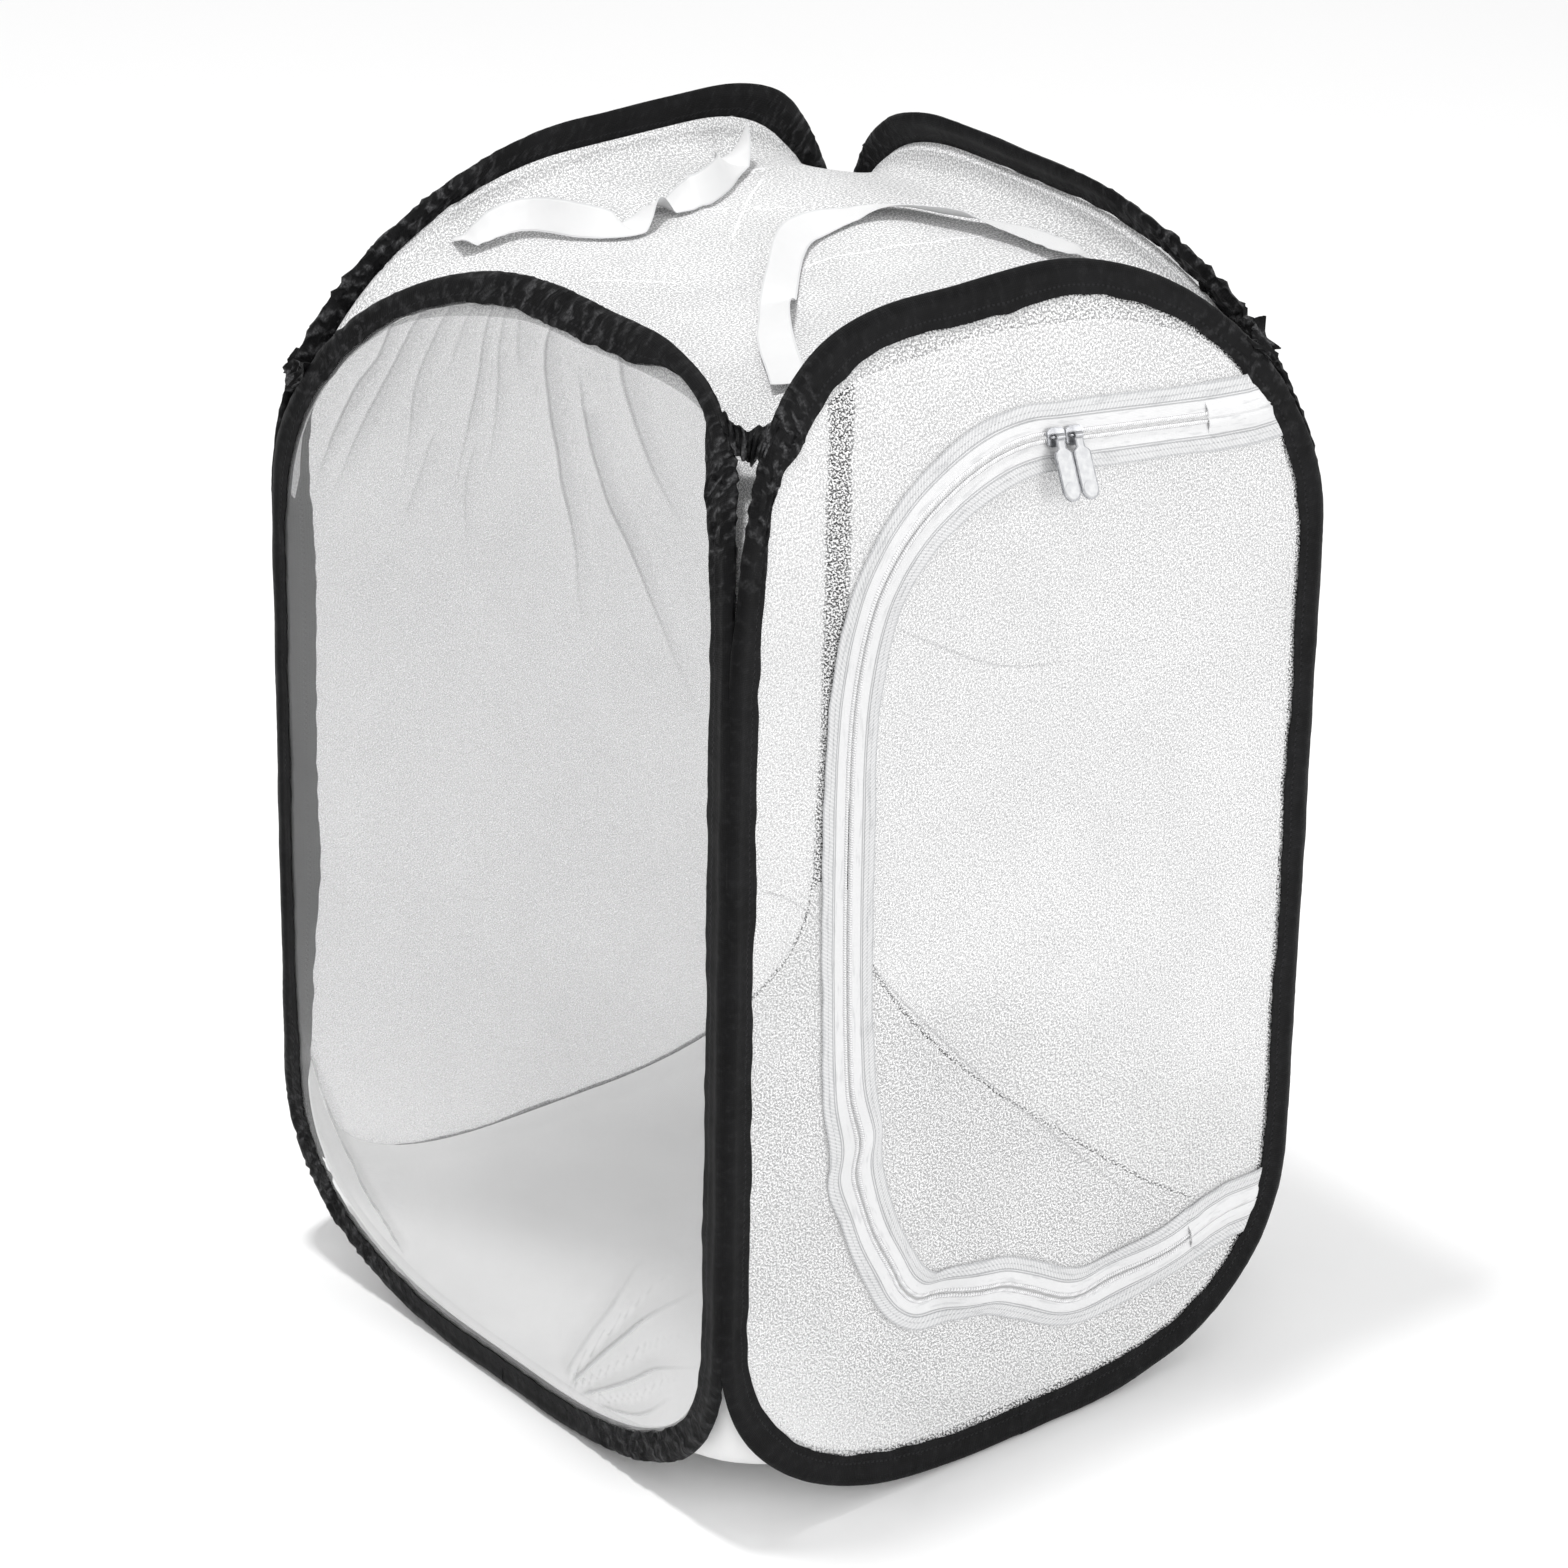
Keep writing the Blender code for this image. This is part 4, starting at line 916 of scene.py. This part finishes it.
def stretched(front, back, left, right, fall):
    """A cloth held on four arcs, whose height relaxes like a membrane's."""
    n = len(front) - 1
    for a, b in ((front, left), (front[::-1], right), (back, left[::-1]), (back[::-1], right[::-1])):
        a[0] = b[0] = (a[0] + b[0]) / 2
    u = np.linspace(0, 1, n + 1)[None, :, None]
    v = np.linspace(0, 1, n + 1)[:, None, None]
    grid = (1 - v) * front[None] + v * back[None] + (1 - u) * left[:, None] + u * right[:, None]
    grid = grid - (1 - u) * (1 - v) * front[0] - u * (1 - v) * front[-1]
    grid = grid - (1 - u) * v * back[0] - u * v * back[-1]
    height = grid[..., 2].copy()
    pull = 0.0 if fall is None else (CAGE_WIDTH / n / fall) ** 2
    odd = np.add.outer(np.arange(n - 1), np.arange(n - 1)) % 2
    for step in range(700):
        near = height[:-2, 1:-1] + height[2:, 1:-1] + height[1:-1, :-2] + height[1:-1, 2:]
        change = near / (4 + pull) - height[1:-1, 1:-1]
        height[1:-1, 1:-1] += 1.88 * change * (odd == step % 2)
    grid[..., 2] = height
    return grid


TOP_CREASES = (
    (((0.060, 0.149), (0.091, 0.152), (0.126, 0.151)), 0.0018, 0.0010),
    (((-0.035, 0.124), (0.004, 0.128), (0.032, 0.117), (0.077, 0.090)), 0.0018, 0.0011),
    (((0.018, 0.019), (0.049, 0.021), (0.086, 0.009), (0.135, -0.011)), 0.0018, 0.0011),
    (((-0.071, 0.077), (-0.057, 0.060), (-0.038, 0.043)), 0.0018, 0.0008),
    (((0.015, 0.071), (0.060, 0.115), (0.095, 0.143)), 0.0018, 0.0009),
)


def cut_places(grid):
    """Places on the cut cloth for a grid of surface points: the distances run along it both ways."""
    runs = []
    for axis in (1, 0):
        steps = np.linalg.norm(np.diff(grid, axis=axis), axis=-1)
        run = np.cumsum(steps, axis=axis)
        run = np.concatenate([np.zeros_like(run.take([0], axis)), run], axis=axis)
        runs.append(run - run.take([run.shape[axis] // 2], axis))
    return np.stack(runs, axis=-1).reshape(-1, 2)


def cloth_area(grid):
    """The area of a grid of surface points."""
    a, b, c, d = grid[:-1, :-1], grid[:-1, 1:], grid[1:, 1:], grid[1:, :-1]
    halves = np.cross(b - a, c - a), np.cross(c - a, d - a)
    return sum(np.linalg.norm(h, axis=-1).sum() / 2 for h in halves)


def make_sewn(sides, name, node, finish, upper, count, fall):
    """A cloth sewn to all four hoops: the top, which dips at its corners, or the floor, which rises."""
    arcs = [seam(sides, hoop, upper, count) for hoop in ("front", "back", "left", "right")]
    grid = stretched(*arcs, fall)
    share = np.sin(np.pi * np.arange(count + 1) / count)
    hold = np.minimum(1, (2.5 if upper else 2) * share[:, None] * share[None])
    x, y = grid[..., 0], grid[..., 1]
    marks = {}
    if upper:
        ridge, near, strong = creases(x.ravel(), y.ravel(), TOP_CREASES)
        grid[..., 2] += (uneven(x, y, 0.09, 21) * 0.0016 + ridge.reshape(x.shape)) * hold
        # The top netting's finish paints a highlight along these creases.
        marks = {"near": near, "strong": strong}
    else:
        grid[..., 2] += (uneven(x, y, 0.07, 31) * 0.0011 + uneven(x, y, 0.022, 32) * 0.0003) * hold
        grid[..., 2] = np.maximum(grid[..., 2], 0.0008)
    faces, thickness = grid_faces(count + 1, count + 1), CLOTH if upper else FLOOR_CLOTH
    made = cloth(name, grid.reshape(-1, 3), faces, cut_places(grid), thickness, **marks)
    dress(made, finish, "cage", node)
    cloth_area(grid)
    return grid


# The door flap and its zip.


def zip_line(side):
    """The zip's middle line on the front, in even steps."""
    shares = np.array(ZIP_SHARES) * (side.half, CAGE_HEIGHT)
    return even(smooth_line(shares, 300), 460)


def hinge_blend(made, side):
    """Bakes a flap piece's placement into its mesh. The front's depth at its middle height is worked out but
    not used.
    """
    middle = CAGE_HEIGHT / 2
    y = float(side.place(0.0, middle)[1])
    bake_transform(made)


def make_door(side, line):
    """The front netting round the flap, and the flap's, which runs on past the hinge to the tape."""
    normals = flat_normals(line)
    rim, hole = line - normals * NET_REACH, line + normals * NET_REACH
    loop = side.offset(SEWN_IN)[:-1:2]
    right, up = loop[:, 0] > 0, loop[:, 1]
    flap = np.vstack([rim[::2], loop[right & (up > rim[-1, 1]) & (up < rim[0, 1])]])
    low = loop[right & (up < hole[-1, 1])]
    rest = loop[~right | (up > hole[0, 1])]
    first = loop[right & (up > hole[0, 1])][0]
    start = int(np.argmin(np.hypot(*(rest - first).T)))
    frame_net = np.vstack([np.roll(rest, -start, axis=0), low, hole[::-2]])
    make_side(side, "netting_front", "netting", "front_mesh_panel", frame_net, line, FRONT_CREASES)
    make_side(side, "netting_door", "netting", "door_mesh", flap, line, DOOR_CREASES)
    hinge_blend(bpy.data.objects["netting_door"], side)


def dress_zip(made, side, finish, sign, node):
    """A piece of the zip rides on the cage or, where it is the flap's, gets no body and has its placement
    baked into its mesh.
    """
    dress(made, finish, "cage" if sign > 0 else None, node)
    if sign < 0:
        hinge_blend(made, side)


def make_band(side, line, sign, name, node):
    """One of the zip's tapes, on one side of its line."""
    normals = flat_normals(line)
    run = lengths(line)
    across = np.linspace(ZIP_TAPE_START, ZIP_TAPE_END, 9)
    rows = []
    for q in across:
        loose = eased(q, 0.006, ZIP_TAPE_END)
        wobble = uneven(run, 0, 0.055, 41) * 0.0005 + uneven(run, 0, 0.014, 42) * 0.00012
        lift = 0.0011 + loose * uneven(run, q, 0.030, 43 + sign) * 0.0004 + 0.0003 * loose
        spot = line + normals * (sign * (q + loose * wobble))[:, None]
        rows.append(side.place(*spot.T, lift + waves(*spot.T)))
    made = strip_cloth(name, np.stack(rows, axis=1), run, sign * across)
    dress_zip(made, side, "zip_tape", sign, node)
    "netting_door" if sign < 0 else "netting_front"


COIL_SECTION = (
    (-1.0, 0.0004), (-1.0, 0.0012), (-0.45, 0.0021), (0.45, 0.0021), (1.0, 0.0013), (1.0, 0.0004),
)


def make_coil(side, line, sign, name, node):
    """One half of the coil: a ridge of small rounded teeth."""
    fine = even(line, 2750)
    normals = flat_normals(fine)
    run = lengths(fine)
    tooth = 0.5 + 0.5 * np.sin(2 * math.pi * run / TOOTH_PITCH + (0 if sign > 0 else math.pi))
    middle, half = (COIL_START + COIL_END) / 2, (COIL_END - COIL_START) / 2
    rows = []
    for share, height in COIL_SECTION:
        q = middle + half * share * (0.93 + 0.07 * tooth)
        depth = height * (0.88 + 0.12 * tooth) if height > 0.001 else np.full(len(run), height)
        spot = fine + normals * (sign * q)[:, None]
        rows.append(side.place(*spot.T, depth + waves(*spot.T)))
    points = np.stack(rows, axis=1)
    count, ring = points.shape[:2]
    first = np.arange(count - 1) * ring
    faces = []
    for k in range(ring):
        n = (k + 1) % ring
        faces += np.stack([first + k, first + n, first + n + ring, first + k + ring], axis=1).tolist()
    faces += [list(range(ring)), list(range((count - 1) * ring, count * ring))[::-1]]
    if sign > 0:
        faces = [face[::-1] for face in faces]
    across = np.array([share for share, _ in COIL_SECTION]) * half + middle
    made = mesh_object(name, points.reshape(-1, 3), faces, strip_places(run, sign * across))
    dress_zip(made, side, "zip_coil", sign, node)


def make_patch(side, line, top, sign, name, node):
    """A cloth patch sewn over one end of the zip, on one side of its line, and on to the right tape."""
    run = line if top else line[::-1]
    inward = even(run[lengths(run) < PATCH_REACH], 30)
    beyond = inward[0] + np.array((1.0, 0.0)) * np.linspace(PATCH_RUN_ON, 0.0005, 16)[:, None]
    inward = np.vstack([beyond, inward])
    normals = flat_normals(inward) * (1 if top else -1)
    across = np.linspace(0.0002 if sign > 0 else -0.0030, ZIP_TAPE_END + 0.0006, 14)
    length = lengths(inward)
    hoop = side.line[side.line[:, 0] > 0]
    hoop = hoop[hoop[:, 1] > 0.1] if top else hoop[hoop[:, 1] < 0.3]
    hoop = hoop[np.argsort(hoop[:, 1])]
    rows = []
    for q in across:
        outer = eased(abs(q), 0.003, 0.008)
        lift = 0.0030 - 0.0012 * outer - 0.0006 * (q < 0.001) * (sign < 0)
        lift = lift + uneven(length, q, 0.016, 51) * 0.00025
        lift = lift - 0.0007 * eased(length, length[-1] - 0.006, length[-1]) * outer
        spot = inward + normals * (sign * q)
        limit = np.interp(spot[:, 1], hoop[:, 1], hoop[:, 0]) - 0.0035
        spot[:, 0] = np.minimum(spot[:, 0], limit)
        tuck = eased(limit - spot[:, 0], 0.001, 0.0090)
        rows.append(side.place(*spot.T, 0.0004 + (lift - 0.0004) * tuck + waves(*spot.T)))
    grid = np.stack(rows, axis=1)
    keep = np.concatenate([[True], np.linalg.norm(np.diff(grid[:, 7], axis=0), axis=1) > 0.0002])
    grid, length = grid[keep], length[keep]
    made = strip_cloth(name, grid, length, sign * across, TAPE_CLOTH)
    dress_zip(made, side, "zip_tape", sign, node)


# Sliders and pulls.

SLIDER_LENGTH, SLIDER_WIDTH, SLIDER_NOSE = 0.0110, 0.0094, 0.0078
SLIDERS_MIDDLE = 0.147
PLATE_LOW, PLATE_TOP, BAR_LEVEL = 0.0027, 0.0038, 0.0060
PULL_WIDTH, PULL_LENGTH, PULL_NECK_WIDTH, PULL_NECK_LENGTH = 0.0107, 0.0320, 0.0052, 0.0060
PULL_TILT = math.radians(10.5)
SLIDER_GAP = 0.0003
PULL_MIDDLE = PULL_WIDTH / 2 - PULL_LENGTH
EYE_STEPS = 20


def slider_frame(side, along):
    """A matrix on the zip's straight run: X along it, -Y out of the front, Z up the front."""
    shares = np.array(ZIP_SHARES)[2:9] * (side.half, CAGE_HEIGHT)
    ends = side.place(shares[[-1, 0], 0], shares[[-1, 0], 1])
    run = ends[1] - ends[0]
    run /= np.linalg.norm(run)
    up = np.interp(along, shares[::-1, 0], shares[::-1, 1])
    spot = side.place(along, up)
    out = side.place(along, up, 0.001) - spot
    out -= run * out.dot(run)
    out /= np.linalg.norm(out)
    rise = np.cross(run, -out)
    made = Matrix.Identity(4)
    for k, axis in enumerate((run, -out, rise, spot)):
        for row in range(3):
            made[row][k] = axis[row]
    return made


def plate(work, outline, low, high):
    """Adds a flat plate to a bmesh: an outline in X and Z, between two places on Y."""
    rows = [[work.verts.new((x, y, z)) for x, z in outline] for y in (low, high)]
    for a, b, c, d in zip(rows[0], rows[0][1:] + rows[0][:1], rows[1][1:] + rows[1][:1], rows[1]):
        work.faces.new((a, b, c, d))
    work.faces.new(rows[0][::-1])
    work.faces.new(rows[1])


def add_piece(work, place, name, finish, body, bevel, node=None, segments=2):
    """Rounds the edges of a bmesh and makes it a piece of a slider or pull."""
    bmesh.ops.recalc_face_normals(work, faces=work.faces)
    edges = [e for e in work.edges if e.is_manifold and e.calc_face_angle(0) > 0.5]
    bmesh.ops.bevel(work, geom=edges, offset=bevel, segments=segments, affect="EDGES", clamp_overlap=True)
    mesh = bpy.data.meshes.new(name)
    work.to_mesh(mesh)
    work.free()
    mesh.shade_smooth()
    mesh.set_sharp_from_angle(angle=math.radians(38))
    dress(placed(name, mesh, place), finish, body, node)


def ring_points(radius, count):
    """Points of a circle, in even steps."""
    turns = 2 * math.pi * np.arange(count) / count
    return [(radius * math.cos(t), radius * math.sin(t)) for t in turns]


def make_slider(frame, name, body, node):
    """A slider: its shield-shaped front plate, side walls and arched bail."""
    half, wide, nose = SLIDER_LENGTH / 2, SLIDER_WIDTH / 2, SLIDER_NOSE / 2
    shield = [
        (-half, -nose + 0.001), (-half + 0.001, -nose), (-half / 2, -wide), (half - 0.0016, -wide),
        (half, -wide + 0.0016), (half, wide - 0.0016), (half - 0.0016, wide), (-half / 2, wide),
        (-half + 0.001, nose), (-half, nose - 0.001),
    ]
    work = bmesh.new()
    plate(work, shield, -PLATE_TOP, -PLATE_LOW)
    for sign in (1, -1):
        inner, end = sign * (wide - 0.0009), half - 0.0016
        wall = [(-half / 2, inner), (end, inner), (end, sign * wide), (-half / 2, sign * wide)]
        plate(work, wall if sign > 0 else wall[::-1], -PLATE_LOW, -0.0017)
    add_piece(work, frame, name, "pull", body, 0.00028, node)
    curve = bpy.data.curves.new(name + "_bail", "CURVE")
    curve.dimensions = "3D"
    curve.bevel_depth = 0.0006
    curve.bevel_resolution = 3
    curve.use_fill_caps = True
    spline = curve.splines.new("POLY")
    leg = [(0.0018, 0.0), (0.0027, 0.0001), (0.0035, 0.0010), (0.0036, BAR_LEVEL - PLATE_TOP + 0.0006)]
    arch = [(-x, y - BAR_LEVEL) for x, y in leg[::-1]] + [(x, y - BAR_LEVEL) for x, y in leg]
    arch = smooth_line(arch, 28)
    spline.points.add(len(arch) - 1)
    for point, (x, y) in zip(spline.points, arch):
        point.co = (x, y, 0.0, 1.0)
    dress(placed(name + "_bail", curve, frame), "pull", body)


def pull_outline(inset):
    """The pull's outline: a neck, sloping shoulders and a round end."""
    neck, wide = PULL_NECK_WIDTH / 2 - inset, PULL_WIDTH / 2 - inset
    turns = np.linspace(0, -math.pi, 25)
    top = -0.0011 - inset
    shoulder = -PULL_NECK_LENGTH - 0.0020
    flank = [
        (neck, top), (neck, -PULL_NECK_LENGTH), (wide - 0.0006, shoulder + 0.0004), (wide, shoulder - 0.0006),
    ]
    end = [(wide * math.cos(t), PULL_MIDDLE + wide * math.sin(t)) for t in turns]
    return flank + end + [(-x, z) for x, z in flank[::-1]]


def make_pull(frame, name, body, node):
    """A flat pull: its rimmed plate, its eye round the bail's bar and a round pad at its end."""
    place = frame @ Matrix.Translation((0, -BAR_LEVEL, 0)) @ Matrix.Rotation(-PULL_TILT, 4, "X")
    work = bmesh.new()
    plate(work, pull_outline(0.0), -0.00060, 0.00060)
    add_piece(work, place, name, "pull", body, 0.0002, node)
    work = bmesh.new()
    outer, inner = ring_points(0.0017, EYE_STEPS), ring_points(0.00092, EYE_STEPS)
    neck = PULL_NECK_WIDTH / 2
    rows = [
        [work.verts.new((x, a, b)) for a, b in ring]
        for x, ring in ((-neck, outer), (neck, outer), (neck, inner), (-neck, inner))
    ]
    for first, second in zip(rows, rows[1:] + rows[:1]):
        for k in range(EYE_STEPS):
            n = (k + 1) % EYE_STEPS
            work.faces.new((first[k], first[n], second[n], second[k]))
    add_piece(work, place, name + "_eye", "pull", body, 0.00015)
    work = bmesh.new()
    plate(work, pull_outline(0.00095), -0.00074, -0.00055)
    add_piece(work, place, name + "_face", "pull_face", body, 0.00006, segments=1)
    work = bmesh.new()
    plate(work, [(a, PULL_MIDDLE + b) for a, b in ring_points(0.0041, 40)], -0.00100, -0.00070)
    add_piece(work, place, name + "_pad", "pull_face", body, 0.00014)


# Corner ties and ribbons.

TIE_HEIGHT, TIE_SPAN = 0.012, 0.016
TIE_ROWS, TIE_STEPS = 9, 34
RIBBON_WIDTH = 0.018
REAR_RIBBON = (
    (-0.090, 0.163), (-0.058, 0.152), (-0.038, 0.128), (-0.016, 0.117), (0.010, 0.127),
    (0.034, 0.122), (0.056, 0.131), (0.080, 0.154), (0.098, 0.168),
)
REAR_TILTS = (20, -45, -62, -30, 40, -45, -64, -30, 72)
FRONT_RIBBON = (
    (-0.086, -0.101), (-0.053, -0.048), (-0.010, 0.000), (0.038, 0.047), (0.076, 0.059),
    (0.103, 0.046), (0.118, 0.015), (0.125, -0.015), (0.129, -0.042), (0.135, -0.068),
)
FRONT_TILTS = (5, 10, 30, -20, -30, -25, 12, 30, 8, 5)


def rim_place(side, plus, up):
    """A point on a tape's rim at that height, on one of its uprights."""
    line = side.offset(TAPE_WIDTH / 2 - 0.0006)
    run = line[line[:, 0] > 0] if plus else line[line[:, 0] < 0]
    run = run[run[:, 1] > CAGE_HEIGHT / 2]
    run = run[np.argsort(run[:, 1])]
    return side.place(float(np.interp(up, run[:, 1], run[:, 0])), up)


def tie_level(ends):
    """The height at which two rims have parted by the tie's span."""
    low, high = CAGE_HEIGHT / 2, CAGE_HEIGHT - 0.028
    for _ in range(20):
        level = (low + high) / 2
        a, b = (rim_place(side, plus, level) for side, plus in ends)
        if np.linalg.norm(a - b) < TIE_SPAN:
            low = level
        else:
            high = level
    return level


def make_tie(name, node, *ends):
    """A short gathered strap between two hoops, with its loose ends folded out."""
    level = tie_level(ends)
    t = np.linspace(-0.24, 1.20, TIE_STEPS)
    rows, flat = [], []
    for k in range(TIE_ROWS):
        up = level + TIE_HEIGHT * (k - 4) / 8
        a, b = (rim_place(side, plus, up) for side, plus in ends)
        out = (a + b) / 2 * (1, 1, 0)
        out /= np.linalg.norm(out)
        place = a + (b - a) * t[:, None]
        place[:, 2] -= 0.012 * np.clip(t * (1 - t), -0.1, 1)
        ruffle = uneven(t * 0.030, k * 0.0015, 0.007, 61) * 0.0030
        place += out * (ruffle + 0.0012)[:, None]
        place[:, 2] += uneven(t * 0.03, k * 0.0015, 0.009, 62) * 0.0016
        rows.append(place)
        flat.append(np.stack([t * 0.026, np.full(TIE_STEPS, (k - 4) * 0.0015)], axis=1))
    grid, flat = np.array(rows), np.array(flat).reshape(-1, 2)
    faces = grid_faces(TIE_ROWS, TIE_STEPS)
    # The whole tie counts as gathered, so its pleats get the tape's painted highlight.
    made = cloth(name, grid.reshape(-1, 3), faces, flat, TIE_CLOTH, fold=np.ones(len(flat)))
    dress(made, "tape", "cage", node)


def height_on(grid, x, y):
    """The height of the top cloth at a place in plan."""
    flat = grid.reshape(-1, 3)
    far = (flat[:, 0] - x) ** 2 + (flat[:, 1] - y) ** 2
    near = np.argpartition(far, 5)[:5]
    share = 1 / (far[near] + 1e-7)
    return float((flat[near, 2] * share).sum() / share.sum())


def make_ribbon(name, node, points, tilts, grid, tucked=0.0):
    """A loose ribbon lying on the top, which stands up on its edge where it turns and may end tucked."""
    line = even(smooth_line(points, 120), 110)
    normals = flat_normals(line)
    run = lengths(line)
    tilt = np.radians(smooth_line([(t, 0) for t in tilts], 109)[:, 0])
    half = RIBBON_WIDTH / 2
    across = np.linspace(-half, half, 7)
    under = (-half, -half / 2, 0, half / 2, half)
    base = np.array([max(height_on(grid, *(p + n * q)) for q in under) for p, n in zip(line, normals)])
    rise = np.abs(np.sin(tilt)) * half
    rows = []
    narrow = 1 - 0.85 * eased(run, run[-1] - tucked, run[-1] + 1e-6) if tucked else 1.0
    for q in across:
        curl = 0.0008 * (q / half) ** 2 + uneven(run, q, 0.040, 71) * 0.0005
        spot = line + normals * (q * narrow * np.cos(tilt))[:, None]
        up = base + 0.0014 + rise + q * np.sin(tilt) + curl
        rows.append(np.stack([spot[:, 0], spot[:, 1], up], axis=1))
    made = strip_cloth(name, np.stack(rows, axis=1), run, across, RIBBON_CLOTH)
    dress(made, "ribbon", "cage", node)


# Light, camera and floor.

SKY_STRENGTH = 0.79
FLOOR_LEVEL, FLOOR_REACH = -0.0008, 9


def make_camera():
    """A camera turned, tilted and shifted as the photograph's."""
    data = bpy.data.cameras.new("camera")
    data.sensor_fit = "HORIZONTAL"
    data.sensor_width = SENSOR_WIDTH
    data.lens = SENSOR_WIDTH * FOCAL_PIXELS / FRAME_PIXELS
    data.shift_x = -SHIFT_PIXELS[0] / FRAME_PIXELS
    data.shift_y = SHIFT_PIXELS[1] / FRAME_PIXELS
    data.clip_end = 60.0
    ahead = Vector((
        math.cos(CAMERA_YAW) * math.cos(CAMERA_PITCH),
        math.sin(CAMERA_YAW) * math.cos(CAMERA_PITCH),
        -math.sin(CAMERA_PITCH),
    ))
    level = Vector((math.sin(CAMERA_YAW), -math.cos(CAMERA_YAW), 0.0))
    upright = level.cross(ahead)
    right = level * math.cos(CAMERA_ROLL) + upright * math.sin(CAMERA_ROLL)
    up = upright * math.cos(CAMERA_ROLL) - level * math.sin(CAMERA_ROLL)
    turn = Matrix((right, up, -ahead)).transposed().to_4x4()
    bpy.context.scene.camera = placed("camera", data, Matrix.Translation(CAMERA_PLACE) @ turn)


def area_light(name, place, aim, size, power):
    """A round soft light, aimed at a point."""
    data = bpy.data.lights.new(name, "AREA")
    data.shape = "DISK"
    data.size = size
    data.energy = power
    way = Vector(aim) - Vector(place)
    placed(name, data, Matrix.Translation(place) @ way.to_track_quat("-Z", "Y").to_matrix().to_4x4())


def make_studio():
    """A white world, two soft lights and a plain pale floor."""
    world = bpy.data.worlds.new("studio")
    world.use_nodes = True
    sky = world.node_tree.nodes["Background"]
    sky.inputs["Color"].default_value = (1, 1, 1, 1)
    sky.inputs["Strength"].default_value = SKY_STRENGTH
    bpy.context.scene.world = world
    bpy.context.scene.view_settings.view_transform = "Standard"
    area_light("key", (-0.55, 0.22, 3.2), (0.0, 0.0, 0.25), 0.40, 46)
    area_light("fill", (1.3, -3.0, 1.3), (0.0, 0.0, 0.3), 1.6, 36)
    corners = ((-1, -1), (1, -1), (1, 1), (-1, 1))
    points = [(x * FLOOR_REACH, y * FLOOR_REACH, FLOOR_LEVEL) for x, y in corners]
    floor = mesh_object("studio_floor", points, [(0, 1, 2, 3)], smooth=False)
    floor.data.materials.append(studio_paper())


def main():
    """Builds the cage's pieces, with their camera, light and floor."""
    sides = {name: Hoop(name) for name in HOOPS}
    front, left, right, back = (sides[name] for name in ("front", "left", "right", "back"))
    make_camera()
    make_studio()
    for side in sides.values():
        make_tape(side)
    for node in frame["nodes"].values():
        if node.name.startswith(("hoop_wire", "wire_sleeve")):
            node.data.materials.clear()
            node.data.materials.append(FINISHES["steel"])
    make_side(left, "sheer_left", "sheer", "left_sheer_panel", folds=SHEER_FOLDS, soft=0.0018, spacing=0.0036)
    make_side(right, "netting_right", "far_netting", "right_mesh_panel")
    make_side(back, "netting_back", "far_netting", "back_mesh_panel")
    grid = make_sewn(sides, "netting_top", "top_mesh_panel", "top_netting", True, 66, None)
    make_sewn(sides, "cloth_floor", "floor_panel", "floor", False, 60, 0.040)
    line = zip_line(front)
    make_door(front, line)
    for make, piece, node in ((make_band, "zip_band", "zip_tape"), (make_coil, "zip_coil_teeth", "zip_coil")):
        for sign, part in ((1, "frame"), (-1, "door")):
            make(front, line, sign, f"{piece}_{part}", f"{node}_{part}")
    for word in ("top", "foot"):
        for sign, part in ((1, "frame"), (-1, "door")):
            make_patch(front, line, word == "top", sign, f"zip_patch_{word}_{part}", f"zip_end_{word}_{part}")
    middle = SLIDERS_MIDDLE * front.half
    for letter, sign, word in (("a", -1, "left"), ("b", 1, "right")):
        place = slider_frame(front, middle + sign * (SLIDER_LENGTH + SLIDER_GAP) / 2)
        make_slider(place, f"slider_{word}_body", f"slider_{word}", f"slider_{letter}")
        make_pull(place, f"pull_{word}_plate", f"pull_{word}", f"pull_{letter}")
    ties = {
        "front_left": ((left, False), (front, False)),
        "front_right": ((front, True), (right, False)),
        "back_right": ((right, True), (back, True)),
        "back_left": ((back, False), (left, True)),
    }
    for corner, ends in ties.items():
        make_tie(f"tie_{corner}", f"corner_tie_{corner}", *ends)
    make_ribbon("ribbon_rear", "hanging_ribbon_rear", REAR_RIBBON, REAR_TILTS, grid)
    make_ribbon("ribbon_front", "hanging_ribbon_front", FRONT_RIBBON, FRONT_TILTS, grid, 0.018)


main()
